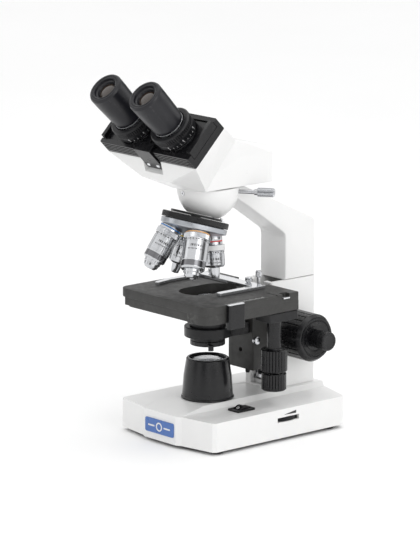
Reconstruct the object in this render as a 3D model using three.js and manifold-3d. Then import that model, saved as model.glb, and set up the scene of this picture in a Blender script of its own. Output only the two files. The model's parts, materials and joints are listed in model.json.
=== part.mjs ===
// Binocular compound microscope with a tilted four-place nosepiece, a double-layer
// mechanical stage, coaxial focusing and a sliding binocular head.
// Millimetres, +Z up, -Y towards the user. The optical axis is the line x = 0, y = 0 of
// the inner group, which is shifted so that the origin is under the middle of the object.
import * as THREE from 'three';
import { mergeVertices } from 'three/addons/utils/BufferGeometryUtils.js';
import { ConvexGeometry } from 'three/addons/geometries/ConvexGeometry.js';
import Module from 'manifold-3d';

const wasm = await Module();
wasm.setup();

// ---------------------------------------------------------------- driving dimensions
const GAP = 0.3; // clearance between pieces that rest on or sit in each other
const CENTRE_Y = -7.96; // shifts the optical axis so that the box is centred on the origin

const FOOT = { height: 3, radius: 6.5, x: 57, front: -39, rear: 100 };
const BASE = { bottom: 3, wingTop: 30.4, deckTop: 35.5, wall: 3, roof: 2.8 };
const BASE_PLAN = [[22, -58.5], [27.5, -55.6], [63.5, -50], [66, -47], [66, 110], [63, 114.4], [25, 126]];
const BASE_INNER = [[22, -55], [26, -52.2], [63, -46.4], [63, 109], [61, 111.6], [24, 122.6]];
const DECK = { halfTop: 24, halfFoot: 26.6, rampEnd: -25, rear: 125.4 };
const SWITCH = { x: 43, y: 4, width: 15, length: 21.5 };
const DIMMER = { x: 50.4, y: 42.1, z: 20.4, radius: 17, thickness: 3.4, slot: 27 };
const INLET = { z: 17, radius: 5, depth: 14 };
const LAMP = { bottom: 35.8, top: 74.1, footRadius: 24.7, topRadius: 20, wall: 2.4 };

const COLUMN = { half: 17.6, front: 81.5, rear: 118.8 };
const HOUSING = { half: 18.5, front: 63, rear: 119.2, top: 138.2, wall: 4.5 };
const BOWL = { radius: 29, rim: 236.3, height: 32.5, socketRadius: 23, socketFloor: 229 };
const LIGHT_BORE = 10;
const COLLAR = { radius: 22.5, low: 229.4, high: 237 };
const LOCK = { angle: 38.5, z: 231.6, shaftStart: 24, knobStart: 46, end: 62.4, radius: 4.3 };

const NOSEPIECE = { tilt: 17, clickAngle: 28, seatRadius: 20, seatY: -19.1, seatZ: 194.9 };
const TURRET = { radius: 31, rimLow: 3.4, rimHigh: 8.6, gripHigh: 14.6, bore: 5 };
const OBJECTIVES = [
  { name: 'objective_4x', place: 0, length: 38.5, radius: 9.7, sprung: false },
  { name: 'objective_100x', place: 90, length: 43.5, radius: 11.7, sprung: true },
  { name: 'objective_40x', place: 180, length: 43, radius: 10.9, sprung: true },
  { name: 'objective_10x', place: 270, length: 41.5, radius: 9.5, sprung: false },
];

const HEAD = { bottom: 237.3, half: 28, rear: 54, tilt: 45, frameBack: 238, frameFront: 252 };
const FRAME = { half: 62, low: 141, high: 189, floor: 246 };
const EYE = { x: 27.5, v: 165, barrelLow: 247.5, ringBore: 15.9, ringLow: 253, ringHigh: 266,
  top: 308 };

const FOCUS = { y: 91, z: 86.4, pitchRadius: 6, teeth: 12, coarseRadius: 22.6, fineRadius: 8.9 };
const TONGUE = { half: 3.2, slotHalf: 7.5, low: 59, high: 114 };
const CARRIAGE = { half: 13, front: 68.6, rear: 74, low: 42.5, slotLow: 45.6, high: 132 };
const STAGE = { half: 62, front: -56.5, rear: 57.6, top: 138.3, split: 130, bottom: 121.3 };
const HOLDER_LOW = STAGE.top + GAP;
const HOLE = { half: 18, length: 60 };
const CARRIER = { front: 41, bottom: 57, top: 121 };
const STAGE_KNOB = { x: 50, y: 38, upperRadius: 12.5, lowerRadius: 11.6 };
const CONDENSER = { ringRadius: 22, ringLow: 94.5, ringHigh: 104, top: 131 };

// ---------------------------------------------------------------- materials
const paint = (color, roughness, metalness = 0) =>
  new THREE.MeshStandardMaterial({ color, roughness, metalness });
const WHITE = paint(0xeeeeec, 0.35);
const BLACK = paint(0x232326, 0.45);
const RUBBER = paint(0x1c1c1e, 0.8);
const STAGE_BLACK = paint(0x3a3a39, 0.5);
const CHROME = paint(0xd4d6d8, 0.15, 1);
const SATIN = paint(0xb4b6ba, 0.4, 1);
const BRASS = paint(0xb08d4a, 0.35, 1);
const GLASS = paint(0xbfd4dc, 0.05);

// ---------------------------------------------------------------- geometry helpers
const radians = THREE.MathUtils.degToRad;

// Keeps positions only, welds equal vertices and drops collapsed triangles.
function welded(geometry) {
  const bare = geometry.clone();
  bare.deleteAttribute('normal');
  bare.deleteAttribute('uv');
  const merged = mergeVertices(bare, 1e-4);
  const kept = [];
  const index = merged.index.array;
  for (let i = 0; i < index.length; i += 3) {
    const [a, b, c] = [index[i], index[i + 1], index[i + 2]];
    if (a !== b && b !== c && c !== a) kept.push(a, b, c);
  }
  merged.setIndex(kept);
  return merged;
}

function solid(geometry) {
  const mesh = welded(geometry);
  return new wasm.Manifold(new wasm.Mesh({
    numProp: 3,
    vertProperties: new Float32Array(mesh.attributes.position.array),
    triVerts: new Uint32Array(mesh.index.array),
  }));
}

function geometryOf(manifold) {
  const mesh = manifold.getMesh();
  const geometry = new THREE.BufferGeometry();
  geometry.setAttribute('position', new THREE.BufferAttribute(new Float32Array(mesh.vertProperties), 3));
  geometry.setIndex(new THREE.BufferAttribute(new Uint32Array(mesh.triVerts), 1));
  return geometry;
}

function join(...shapes) {
  return shapes.slice(1).reduce((sum, next) => sum.add(next), shapes[0]);
}

function cut(body, ...tools) {
  return tools.reduce((rest, tool) => rest.subtract(tool), body);
}

function boxOf(x0, x1, y0, y1, z0, z1) {
  const geometry = new THREE.BoxGeometry(x1 - x0, y1 - y0, z1 - z0);
  return geometry.translate((x0 + x1) / 2, (y0 + y1) / 2, (z0 + z1) / 2);
}

// Turns [radius, height] pairs about Z.
function latheOf(profile, segments = 18) {
  const points = profile.map(([radius, height]) => new THREE.Vector2(radius, height));
  return new THREE.LatheGeometry(points, segments).rotateX(Math.PI / 2);
}

function cylinderOf(radius, low, high, segments = 20) {
  return latheOf([[0, low], [radius, low], [radius, high], [0, high]], segments);
}

function ringOf(inner, outer, low, high, segments = 20) {
  return latheOf([[inner, low], [outer, low], [outer, high], [inner, high], [inner, low]], segments);
}

// A cylinder along X or Y.
const alongX = (geometry) => geometry.rotateY(Math.PI / 2);
const alongY = (geometry) => geometry.rotateX(-Math.PI / 2);

function outline(points) {
  return new THREE.Shape(points.map(([x, y]) => new THREE.Vector2(x, y)));
}

// The half plan is mirrored in x, so its points run from the front to the rear.
function mirroredPlan(half) {
  const left = half.map(([x, y]) => [-x, y]).reverse();
  return outline([...half, ...left]);
}

function extrudedUp(shape, low, high, curveSegments = 6) {
  const options = { depth: high - low, bevelEnabled: false, curveSegments };
  return new THREE.ExtrudeGeometry(shape, options).translate(0, 0, low);
}

// A side view drawn in (y, z), extruded along X.
function extrudedSide(points, x0, x1) {
  const options = { depth: x1 - x0, bevelEnabled: false };
  const geometry = new THREE.ExtrudeGeometry(outline(points), options);
  const turn = new THREE.Matrix4().makeBasis(
    new THREE.Vector3(0, 1, 0), new THREE.Vector3(0, 0, 1), new THREE.Vector3(1, 0, 0));
  return geometry.applyMatrix4(turn).translate(x0, 0, 0);
}

function roundedPlate(x0, x1, y0, y1, corner, low, high) {
  const shape = new THREE.Shape();
  shape.moveTo(x0 + corner, y0);
  shape.absarc(x1 - corner, y0 + corner, corner, -Math.PI / 2, 0);
  shape.absarc(x1 - corner, y1 - corner, corner, 0, Math.PI / 2);
  shape.absarc(x0 + corner, y1 - corner, corner, Math.PI / 2, Math.PI);
  shape.absarc(x0 + corner, y0 + corner, corner, Math.PI, 1.5 * Math.PI);
  return extrudedUp(shape, low, high, 5);
}

function hullOf(points) {
  return new ConvexGeometry(points.map((point) => new THREE.Vector3(...point)));
}

// Every [x, y, z] and its mirror image in x.
const bothSides = (points) => points.flatMap(([x, y, z]) => [[x, y, z], [-x, y, z]]);

// ---------------------------------------------------------------- groups
const microscope = new THREE.Group();
const body = new THREE.Group();
body.position.y = CENTRE_Y;
microscope.add(body);

function place(name, shape, material, parent = body) {
  const geometry = shape instanceof THREE.BufferGeometry ? shape : geometryOf(shape);
  const mesh = new THREE.Mesh(welded(geometry), material);
  mesh.name = name;
  parent.add(mesh);
  return mesh;
}

// ---------------------------------------------------------------- base
function makeBaseHousing() {
  const { bottom, wingTop, deckTop, roof } = BASE;
  const shell = solid(extrudedUp(mirroredPlan(BASE_PLAN), bottom, wingTop));
  const deck = solid(hullOf(bothSides([
    [DECK.halfFoot, -55.6, wingTop - 2], [DECK.halfFoot - 4, -57.6, wingTop - 2],
    [DECK.halfFoot, -55.6, wingTop], [DECK.halfFoot - 4, -57.6, wingTop],
    [DECK.halfFoot, DECK.rear, wingTop - 2], [DECK.halfFoot - 1.6, DECK.rear, wingTop],
    [DECK.halfTop, DECK.rampEnd, deckTop], [DECK.halfTop, DECK.rear - 1, deckTop],
  ])));
  const room = solid(extrudedUp(mirroredPlan(BASE_INNER), bottom - 1, wingTop - roof));
  const deckRoom = solid(boxOf(-20, 20, -15, 118, wingTop - roof - 1, deckTop - roof));
  const lampHole = solid(cylinderOf(8, wingTop - 5, deckTop + 1));
  const { x, y, width, length } = SWITCH;
  const switchHole = solid(boxOf(
    x - width / 2 + 1, x + width / 2 - 1, y - length / 2 + 1, y + length / 2 - 1, 26, wingTop + 1));
  const slot = DIMMER.slot / 2;
  const dimmerSlot = solid(boxOf(62, 70, DIMMER.y - slot, DIMMER.y + slot, DIMMER.z - 2.2, DIMMER.z + 2.2));
  const vents = [[-20.4, -19.4, 50, 66], [-17.6, -16.6, 54, 64]]
    .map(([x0, x1, y0, y1]) => solid(boxOf(x0, x1, y0, y1, 25, deckTop + 1)));
  const inletHole = solid(alongY(cylinderOf(INLET.radius + GAP, 118, 130)).translate(0, 0, INLET.z));
  return cut(join(shell, deck), room, deckRoom, lampHole, switchHole, dimmerSlot, inletHole, ...vents);
}

function makeBasePlate() {
  const inset = BASE_INNER.map(([x, y]) => [x - 0.5, y + (y < 0 ? 0.6 : -0.6)]);
  return extrudedUp(mirroredPlan(inset), BASE.bottom + 0.2, BASE.bottom + 1.8);
}

function makeFoot(x, y) {
  const { radius, height } = FOOT;
  const profile = [[0, 0], [radius - 0.8, 0], [radius, 0.8], [radius, height - 0.1], [0, height - 0.1]];
  return latheOf(profile, 12).translate(x, y, 0);
}

function makeSwitchFrame() {
  const { x, y, width, length } = SWITCH;
  const low = BASE.wingTop + 0.1;
  const rim = solid(roundedPlate(x - width / 2, x + width / 2, y - length / 2, y + length / 2, 1.2, low, low + 1.8));
  const sleeve = solid(boxOf(x - 6.2, x + 6.2, y - 9.4, y + 9.4, 20, low + 0.5));
  const well = solid(boxOf(x - 5, x + 5, y - 8.2, y + 8.2, 21.5, low + 5));
  return cut(join(rim, sleeve), well);
}

function makeSwitchRocker() {
  const { x, y } = SWITCH;
  const low = BASE.wingTop - 4;
  const side = [[-7.4, 0], [7.4, 0], [7.4, 4.9], [1.2, 8.6], [-1.6, 8.4], [-7.4, 5.1]];
  const key = side.map(([dy, dz]) => [y + dy, low + dz]);
  return extrudedSide(key, x - 4.6, x + 4.6);
}

function makeDimmerWheel() {
  const { x, y, z, radius, thickness } = DIMMER;
  return ringOf(2, radius, z - thickness / 2, z + thickness / 2, 30).translate(x, y, 0);
}

function makeInlet() {
  const barrel = [[0, 0], [5, 0], [5, INLET.depth], [6.6, INLET.depth + 0.3], [6.6, INLET.depth + 1.5],
    [3.1, INLET.depth + 1.5], [3.1, 4], [1, 4], [1, INLET.depth - 2], [0, INLET.depth - 2]];
  return alongY(latheOf(barrel, 12)).translate(0, 112, INLET.z);
}

// ---------------------------------------------------------------- lamp
function makeLampHousing() {
  const { bottom, top, footRadius, topRadius, wall } = LAMP;
  return latheOf([
    [footRadius, bottom], [footRadius, bottom + 1.6], [footRadius - 1, bottom + 2.4],
    [topRadius + 0.4, top - 4], [topRadius, top - 0.8], [topRadius - 0.8, top], [17.6, top],
    [16.9, top - 1], [16.9, top - 3.2], [topRadius - wall, top - 9], [footRadius - 4, bottom], [footRadius, bottom],
  ], 24);
}

function makeCollectorLens() {
  const rim = LAMP.top - 6.6;
  const dome = [[16.4, rim + 2.6], [13, rim + 4.3], [9, rim + 5.6], [4.6, rim + 6.4], [0, rim + 6.7]];
  return latheOf([[0, rim], [16.4, rim], ...dome], 18);
}

function makeLedBoard() {
  const low = LAMP.bottom + 0.3;
  return latheOf([[0, low], [15, low], [15, low + 1.6], [4, low + 1.6], [3.4, low + 3.6], [0, low + 4.6]], 12);
}

// ---------------------------------------------------------------- stand
function makeFocusHousing() {
  const { half, front, rear, top, wall } = HOUSING;
  const block = solid(roundedPlate(-half, half, front, rear, 2.5, BASE.deckTop + 0.1, top));
  const room = solid(boxOf(-half + wall, half - wall, front + 4.4, rear - wall, 41, top + 1));
  const { slotHalf } = TONGUE;
  const slideSlot = solid(boxOf(-slotHalf, slotHalf, front - 1, front + 5, 39, top + 1));
  const lowWindow = solid(boxOf(-10, 10, front - 1, front + 5, 37.4, 46));
  const shaftHole = solid(alongX(cylinderOf(9, -half - 1, half + 1)).translate(0, FOCUS.y, FOCUS.z));
  return cut(block, room, slideSlot, lowWindow, shaftHole);
}

function bowlProfile(rings) {
  const profile = [[0, BOWL.rim], [BOWL.radius, BOWL.rim]];
  for (let i = 1; i < rings; i += 1) {
    const angle = (Math.PI / 2) * (i / rings);
    profile.push([BOWL.radius * Math.cos(angle), BOWL.rim - BOWL.height * Math.sin(angle)]);
  }
  profile.push([0, BOWL.rim - BOWL.height]);
  return profile.reverse();
}

// The half space below a plane square to the nosepiece axis, as a big disc.
function belowNosepiece(height) {
  const disc = cylinderOf(90, height - 60, height, 12);
  return solid(disc.applyMatrix4(nosepieceMatrix()));
}

function makeArm() {
  const { half, front, rear } = COLUMN;
  const low = HOUSING.top + GAP;
  const side = [
    [front, low], [rear, low], [rear, 189.4], [117.9, 192], [115.6, 194], [68.9, 215.8], [29, 234.6], [12, 234.6],
    [12, 229.4], [34, 215.4], [78, 185], [80.7, 182.2], [front, 178.6],
  ];
  const beam = solid(extrudedSide(side, -half, half));
  const bowl = solid(latheOf(bowlProfile(6), 28));
  const socket = solid(cylinderOf(BOWL.socketRadius, BOWL.socketFloor, BOWL.rim + 1, 28));
  const bore = solid(cylinderOf(LIGHT_BORE, 150, BOWL.rim, 20));
  const angle = radians(LOCK.angle);
  const screwHole = solid(alongX(cylinderOf(2.3, 18, 40, 12)).rotateZ(angle).translate(0, 0, LOCK.z));
  return cut(join(beam, bowl), socket, bore, screwHole, belowNosepiece(17.4));
}

function makeLockScrew() {
  const { shaftStart, knobStart, end, radius } = LOCK;
  const profile = [[0, shaftStart], [1.9, shaftStart], [1.9, knobStart - 3], [2.8, knobStart - 2.6],
    [2.8, knobStart], [radius, knobStart], [radius, end - 1.2], [radius - 1, end], [0, end]];
  return alongX(latheOf(profile, 12)).rotateZ(radians(LOCK.angle)).translate(0, 0, LOCK.z);
}

// ---------------------------------------------------------------- nosepiece
// Local Z runs up the nosepiece axis, local X is the object's X.
function nosepieceMatrix() {
  const matrix = new THREE.Matrix4().makeRotationX(radians(-NOSEPIECE.tilt));
  return matrix.setPosition(0, NOSEPIECE.seatY, NOSEPIECE.seatZ);
}

const nosepiece = new THREE.Group();
nosepiece.applyMatrix4(nosepieceMatrix());
body.add(nosepiece);

function makeNosepieceMount() {
  const plate = solid(latheOf([
    [0, 6], [TURRET.bore - GAP, 6], [TURRET.bore - GAP, 14.9], [24, 14.9], [24, 17.1], [0, 17.1],
  ], 20));
  const path = new THREE.Matrix4().copy(nosepieceMatrix()).invert();
  const beam = solid(cylinderOf(LIGHT_BORE - 1, 150, 260, 14).applyMatrix4(path));
  return cut(plate, beam);
}

function makeClickSpring() {
  const leaf = solid(boxOf(-9, 9, 25, 28.6, 15.1, 15.9));
  const screws = [-5.5, 5.5].map((x) => solid(cylinderOf(1.7, 15.8, 18.4, 10).translate(x, 27, 0)));
  return join(leaf, ...screws);
}

function seatSlope(radius) {
  return (radius - NOSEPIECE.seatRadius) * Math.tan(radians(NOSEPIECE.tilt));
}

function makeTurretDisc() {
  const { radius, rimLow, rimHigh, bore } = TURRET;
  const disc = solid(latheOf([
    [bore, seatSlope(8)], [8, seatSlope(8)], [radius - 0.6, rimLow], [radius, rimLow + 0.8],
    [radius, rimHigh], [radius - 4, rimHigh], [radius - 4, 11], [bore, 11], [bore, seatSlope(8)],
  ], 28));
  const bores = OBJECTIVES.map(({ place: angle }) => {
    const bored = cylinderOf(8.5, -12, 30, 14).applyMatrix4(objectiveMatrix(angle));
    return solid(bored);
  });
  return cut(disc, ...bores);
}

function makeGripRing() {
  const { radius, rimHigh, gripHigh } = TURRET;
  const low = rimHigh + GAP;
  return latheOf([
    [radius - 3.6, low], [radius, low], [radius + 0.3, low + 1], [radius + 0.3, gripHigh - 1],
    [radius - 0.4, gripHigh], [radius - 3.6, gripHigh], [radius - 3.6, low],
  ], 28);
}

// Local Z of an objective points down its barrel, away from its seat.
function objectiveMatrix(angle) {
  const turned = radians(angle + NOSEPIECE.clickAngle);
  const outward = new THREE.Vector3(Math.sin(turned), Math.cos(turned), 0);
  const tilt = radians(NOSEPIECE.tilt);
  const down = new THREE.Vector3(0, 0, -Math.cos(tilt)).addScaledVector(outward, Math.sin(tilt));
  const side = new THREE.Vector3().crossVectors(down, outward).normalize();
  const ahead = new THREE.Vector3().crossVectors(down, side);
  const matrix = new THREE.Matrix4().makeBasis(side, ahead, down);
  return matrix.setPosition(outward.multiplyScalar(NOSEPIECE.seatRadius));
}

function makeObjective({ length, radius, sprung }) {
  const nose = length - 8;
  const band = radius + 0.7;
  const shoulder = [[8, -3], [8, GAP], [radius, GAP], [radius, 7], [band, 7.4], [band, 12.4], [radius, 12.8]];
  const bore = [[6.5, nose - 6], [6.5, -3], [8, -3]];
  if (sprung) {
    const mouth = radius - 1.6;
    return latheOf([...shoulder, [radius, 30], [mouth, nose], [8.4, nose], [8.4, nose - 6], ...bore], 16);
  }
  return latheOf([...shoulder, [radius, nose - 4], [radius - 1.4, nose - 2], [4.6, nose - 1.4],
    [3.4, length], [2.4, length], [2.4, nose], ...bore], 16);
}

function makeSprungNose({ length }) {
  const low = length - 10;
  return latheOf([[2, low - 1], [8, low - 1], [8, length - 5], [5.4, length - 1], [4.6, length],
    [2, length], [2, low - 1]], 14);
}

// ---------------------------------------------------------------- head
// In the tilted group X stays, Y runs up the face of the head and Z out along the eyepieces.
const face = new THREE.Group();
face.rotation.x = radians(HEAD.tilt);
body.add(face);

function fromFace([x, v, n]) {
  return new THREE.Vector3(x, v, n).applyEuler(face.rotation).toArray();
}

function makeHeadHousing() {
  const { bottom, half, rear, frameBack } = HEAD;
  const edge = FRAME.half - 1;
  const shovel = solid(hullOf(bothSides([
    fromFace([edge, FRAME.low, frameBack]), fromFace([edge, FRAME.high, frameBack]),
    [20, -63.7, 249.7], [8, -36, bottom], [half, -27, bottom], [half, -27, 247], [25, 11, 281],
  ])));
  const back = solid(hullOf(bothSides([
    [half, -27, bottom], [half, -27, 247], [25, 11, 281], [half, 14.5, 265.6],
    [half, rear, 264.5], [24, rear, 271], [half, rear, bottom],
  ])));
  const frontRoom = solid(hullOf(bothSides([
    fromFace([50, FRAME.low + 7, frameBack + 1]), fromFace([50, FRAME.high - 7, frameBack + 1]),
    [14, -44, 251], [22, -26, 246], [19, 6, 275],
  ])));
  const backRoom = solid(hullOf(bothSides([
    [22, -22, bottom + 5], [22, -22, 248], [19, 6, 274], [20, 15, 264],
    [22, rear - 5, 259.5], [22, rear - 5, bottom + 5],
  ])));
  const bore = solid(cylinderOf(LIGHT_BORE, bottom - 1, bottom + 8, 20));
  const turn = new THREE.Matrix4().makeRotationX(radians(HEAD.tilt));
  const notch = solid(boxOf(-12.4, 12.4, 120, FRAME.low + 0.4, 227, frameBack + 1).applyMatrix4(turn));
  return cut(join(shovel, back), frontRoom, backRoom, bore, notch);
}

function makeHeadCollar() {
  return ringOf(LIGHT_BORE, COLLAR.radius, COLLAR.low, COLLAR.high, 28);
}

function makePrism() {
  return hullOf(bothSides([[13, -14, 243], [13, 14, 243], [13, 14, 262], [13, -2, 262], [13, -14, 250]]));
}

function makeFaceFrame() {
  const { half, low, high, floor } = FRAME;
  const block = solid(roundedPlate(-half, half, low, high, 2, HEAD.frameBack + GAP, HEAD.frameFront));
  const channel = solid(boxOf(-half - 1, half + 1, low + 5, high - 5, floor, HEAD.frameFront + 1));
  const window = solid(boxOf(-51, 51, low + 10.5, high - 10.5, HEAD.frameBack - 1, floor + 1));
  return cut(block, channel, window);
}

function makeCentreBracket() {
  const { low } = FRAME;
  const flap = boxOf(-11.5, 11.5, low - 1.8, low - GAP, 229, 254.4);
  const strap = boxOf(-11.5, 11.5, low - 1.8, low + 8, HEAD.frameFront + GAP, 254.4);
  return join(solid(flap), solid(strap));
}

function makeSlidePlate(side) {
  const low = FRAME.low + 5.4;
  const high = FRAME.high - 5.4;
  const plate = solid(boxOf(1, FRAME.half - 0.2, low, high, FRAME.floor + GAP, 250.4));
  const flange = solid(boxOf(FRAME.half - 4.6, FRAME.half - 0.2, low, high, 250, 255));
  const hole = solid(cylinderOf(13, 200, 300).translate(EYE.x, EYE.v, 0));
  const shape = cut(join(plate, flange), hole);
  return side > 0 ? shape : shape.mirror([1, 0, 0]);
}

function makeEyepieceTube() {
  return latheOf([[11.8, 241], [12.7, 241], [12.7, 250.7], [17.6, 250.7], [17.6, 252.6], [15, 252.6],
    [15, 267.4], [11.8, 267.4], [11.8, 241]]);
}

function makeDiopterRing() {
  const { ringBore, ringLow, ringHigh } = EYE;
  return latheOf([[ringBore, ringLow], [20.4, ringLow], [20.8, ringLow + 1], [20.8, ringHigh - 1.4],
    [19.6, ringHigh], [ringBore, ringHigh], [ringBore, ringLow]]);
}

function makeEyepiece() {
  const { barrelLow, top } = EYE;
  return latheOf([[9.6, barrelLow], [11.5, barrelLow], [11.5, 267.8], [14.8, 268.4], [16.4, 296],
    [16.6, 305], [14.8, top], [13.4, top - 0.6], [11.4, top - 4.4], [8, top - 5.2], [8, 292],
    [9.6, 289], [9.6, barrelLow]]);
}

// ---------------------------------------------------------------- focusing
const atFocusAxis = (geometry) => alongX(geometry).translate(0, FOCUS.y, FOCUS.z);

function makeCoarseKnob(side) {
  const { coarseRadius } = FOCUS;
  const profile = [[2.3, 15], [8.6, 15], [8.6, 19.4], [coarseRadius - 1.4, 19.4], [coarseRadius, 20.6],
    [coarseRadius, 48], [coarseRadius - 2.6, 50.4], [17.4, 50.4], [16.4, 49.6], [9.8, 49.2], [2.3, 49.2], [2.3, 15]];
  return mirroredX(atFocusAxis(latheOf(profile, 24)), side);
}

function makeFineKnob(side) {
  const { fineRadius } = FOCUS;
  const start = 50.8;
  const profile = [[1.9, start], [8.2, start], [fineRadius, 60], [fineRadius, 67.8],
    [fineRadius - 0.8, 68.6], [0, 68.6], [0, 62], [1.9, 62], [1.9, start]];
  return mirroredX(atFocusAxis(latheOf(profile, 16)), side);
}

function mirroredX(geometry, side) {
  if (side > 0) return geometry;
  return geometry.applyMatrix4(new THREE.Matrix4().makeRotationZ(Math.PI)).translate(0, 2 * FOCUS.y, 0);
}

function makeFineShaft() {
  return atFocusAxis(cylinderOf(1.6, -61, 61, 12));
}


// Straight-sided teeth, one space of the pinion on the line to the rack.
function makePinion() {
  const { y, z, teeth, pitchRadius } = FOCUS;
  const root = { radius: pitchRadius - 1.2, half: 0.95 };
  const tip = { radius: pitchRadius + 0.9, half: 0.28 };
  const points = [];
  for (let i = 0; i < teeth; i += 1) {
    const middle = -Math.PI / 2 + (2 * Math.PI * i) / teeth;
    const corners = [[root, -1], [tip, -1], [tip, 1], [root, 1]];
    for (const [{ radius, half }, side] of corners) {
      const angle = middle + (side * half) / radius;
      points.push([radius * Math.sin(angle), radius * Math.cos(angle)]);
    }
  }
  const gear = extrudedSide(points.reverse(), -4.6, 4.6);
  const bore = solid(alongX(cylinderOf(3.2, -6, 6, 16)));
  return geometryOf(solid(gear).subtract(bore)).translate(0, y, z);
}

// Spaces between the rack's teeth are centred on the height of the pinion's axis.
function makeRack() {
  const { y, z, teeth, pitchRadius } = FOCUS;
  const { half, low, high } = TONGUE;
  const pitch = (2 * Math.PI * pitchRadius) / teeth;
  const pitchLine = y - pitchRadius;
  const back = pitchLine - 3.8;
  const rootLine = pitchLine - 1.25;
  const tipLine = pitchLine + 0.9;
  const points = [[back, low], [rootLine, low]];
  for (let i = -8; i < 8; i += 1) {
    const middle = z + (i + 0.5) * pitch;
    points.push([rootLine, middle - 0.9], [tipLine, middle - 0.3]);
    points.push([tipLine, middle + 0.3], [rootLine, middle + 0.9]);
  }
  points.push([rootLine, high], [back, high]);
  return extrudedSide(points, -half, half);
}

function makeFineCarriage() {
  const { half, front, rear, low, slotLow, high } = CARRIAGE;
  const plate = solid(boxOf(-half, half, front, rear, low, high));
  const slot = solid(boxOf(-5.6, 5.6, front - 8, rear + 8, slotLow, high + 8));
  const lugs = [-1, 1].map((side) => {
    const x0 = side > 0 ? 9.4 : -12.6;
    const lug = solid(boxOf(x0, x0 + 3.2, rear - 1, 96, FOCUS.z - 6.4, FOCUS.z + 6.6));
    return lug.subtract(solid(alongX(cylinderOf(3.2, -20, 20, 12)).translate(0, FOCUS.y, FOCUS.z)));
  });
  return join(plate.subtract(slot), ...lugs);
}

function makeStageCarrier() {
  const { front, bottom, top } = CARRIER;
  const block = solid(roundedPlate(-COLUMN.half, COLUMN.half, front, 62, 1.5, bottom, top));
  const { half, low, high } = TONGUE;
  const tongue = solid(boxOf(-half, half, 61, 80.9, low, high));
  const screwHole = solid(alongY(cylinderOf(2, 30, 50, 12)).translate(0, 0, 74.6));
  return cut(join(block, tongue), screwHole);
}

// ---------------------------------------------------------------- stage
function holeShape(half, length) {
  const shape = new THREE.Shape();
  const straight = length / 2 - half;
  shape.absarc(0, straight, half, 0, Math.PI);
  shape.absarc(0, -straight, half, Math.PI, 2 * Math.PI);
  return shape;
}

function makeStageBase() {
  const plate = solid(roundedPlate(-54, 54, -54.5, 56, 8, STAGE.bottom, STAGE.split - GAP));
  const hole = solid(extrudedUp(holeShape(19, 46), STAGE.bottom - 1, STAGE.split + 1));
  return plate.subtract(hole);
}

function makeStageTop() {
  const { half, front, rear, top, split, bottom } = STAGE;
  const plate = solid(roundedPlate(-half, half, front, rear, 12, split, top));
  const square = solid(boxOf(-half, half, 20, rear, split, top));
  const skirt = solid(boxOf(half - 7, half, -42, rear, bottom, split + 1));
  const notch = solid(boxOf(-21, 21, 46, rear + 1, split - 1, top + 1));
  const hole = solid(extrudedUp(holeShape(HOLE.half, HOLE.length), split - 1, top + 1));
  const recess = solid(boxOf(half - 6, half + 1, 37, 46, split, top + 1));
  return cut(join(plate, square, skirt), notch, hole, recess);
}

function makeSideBracket() {
  const { half, top } = STAGE;
  return roundedPlate(half + GAP, half + 5, -32.3, -12.7, 2, 115.6, top + 0.3);
}

function makeKnobBracket() {
  const block = solid(boxOf(41, 62, 22, 57, 112.6, STAGE.bottom - 0.4));
  const bore = solid(cylinderOf(4.2, 100, 120, 16).translate(STAGE_KNOB.x, STAGE_KNOB.y, 0));
  return block.subtract(bore);
}

function makeUpperKnob() {
  const { upperRadius, x, y } = STAGE_KNOB;
  return latheOf([[2.4, 63.8], [upperRadius, 63.8], [upperRadius, 84.4], [6.8, 84.8], [6.8, 112.2],
    [2.4, 112.2], [2.4, 63.8]], 20).translate(x, y, 0);
}

function makeLowerKnob() {
  const { lowerRadius, x, y } = STAGE_KNOB;
  return latheOf([[0, 45.8], [lowerRadius - 1, 45.8], [lowerRadius, 47], [lowerRadius, 62.6],
    [2, 62.6], [2, 119.4], [0, 119.4]], 20).translate(x, y, 0);
}

function makeSlideHolder() {
  const bar = solid(roundedPlate(-50, 33.4, 30, 42, 2, HOLDER_LOW, HOLDER_LOW + 3));
  const finger = solid(roundedPlate(26.4, 33.4, -14, 34, 1.6, HOLDER_LOW, HOLDER_LOW + 3));
  const knobs = [[-38, 38], [14, 38]].map(([x, y]) =>
    solid(latheOf([[0, HOLDER_LOW + 1], [3, HOLDER_LOW + 1], [3, HOLDER_LOW + 7.4], [0, HOLDER_LOW + 8.2]], 10)
      .translate(x, y, 0)));
  const pin = solid(latheOf([[0, HOLDER_LOW + 1], [1.4, HOLDER_LOW + 1], [1.4, HOLDER_LOW + 10],
    [2.6, HOLDER_LOW + 11], [2.6, HOLDER_LOW + 16], [0, HOLDER_LOW + 17]], 10).translate(28, 38, 0));
  return join(bar, finger, ...knobs, pin);
}

function makeSpringFinger() {
  const blade = new THREE.Shape();
  blade.moveTo(-50, 29.4);
  blade.lineTo(-50.5, 12);
  blade.quadraticCurveTo(-51, -8, -46, -26);
  blade.lineTo(-41.6, -26);
  blade.quadraticCurveTo(-45, -6, -44.4, 12);
  blade.lineTo(-43.4, 29.4);
  return extrudedUp(blade, HOLDER_LOW + 0.2, HOLDER_LOW + 2.8, 6);
}

// ---------------------------------------------------------------- condenser
function makeCondenserMount() {
  const { ringRadius, ringLow, ringHigh } = CONDENSER;
  const ring = solid(cylinderOf(ringRadius, ringLow, ringHigh, 24));
  const arm = solid(boxOf(-13, 13, 16, CARRIER.front - GAP, 92.6, ringHigh));
  const bore = solid(cylinderOf(17, 70, ringHigh + 10, 24));
  return cut(join(ring, arm), bore);
}

function makeCondenserBody() {
  const { ringHigh, top } = CONDENSER;
  return latheOf([[11, 91], [16.6, 91], [16.6, ringHigh + 8], [14, ringHigh + 10], [14, top - 5],
    [12, top], [9.4, top], [9.4, top - 4], [11, top - 8], [11, 91]], 20);
}

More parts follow.
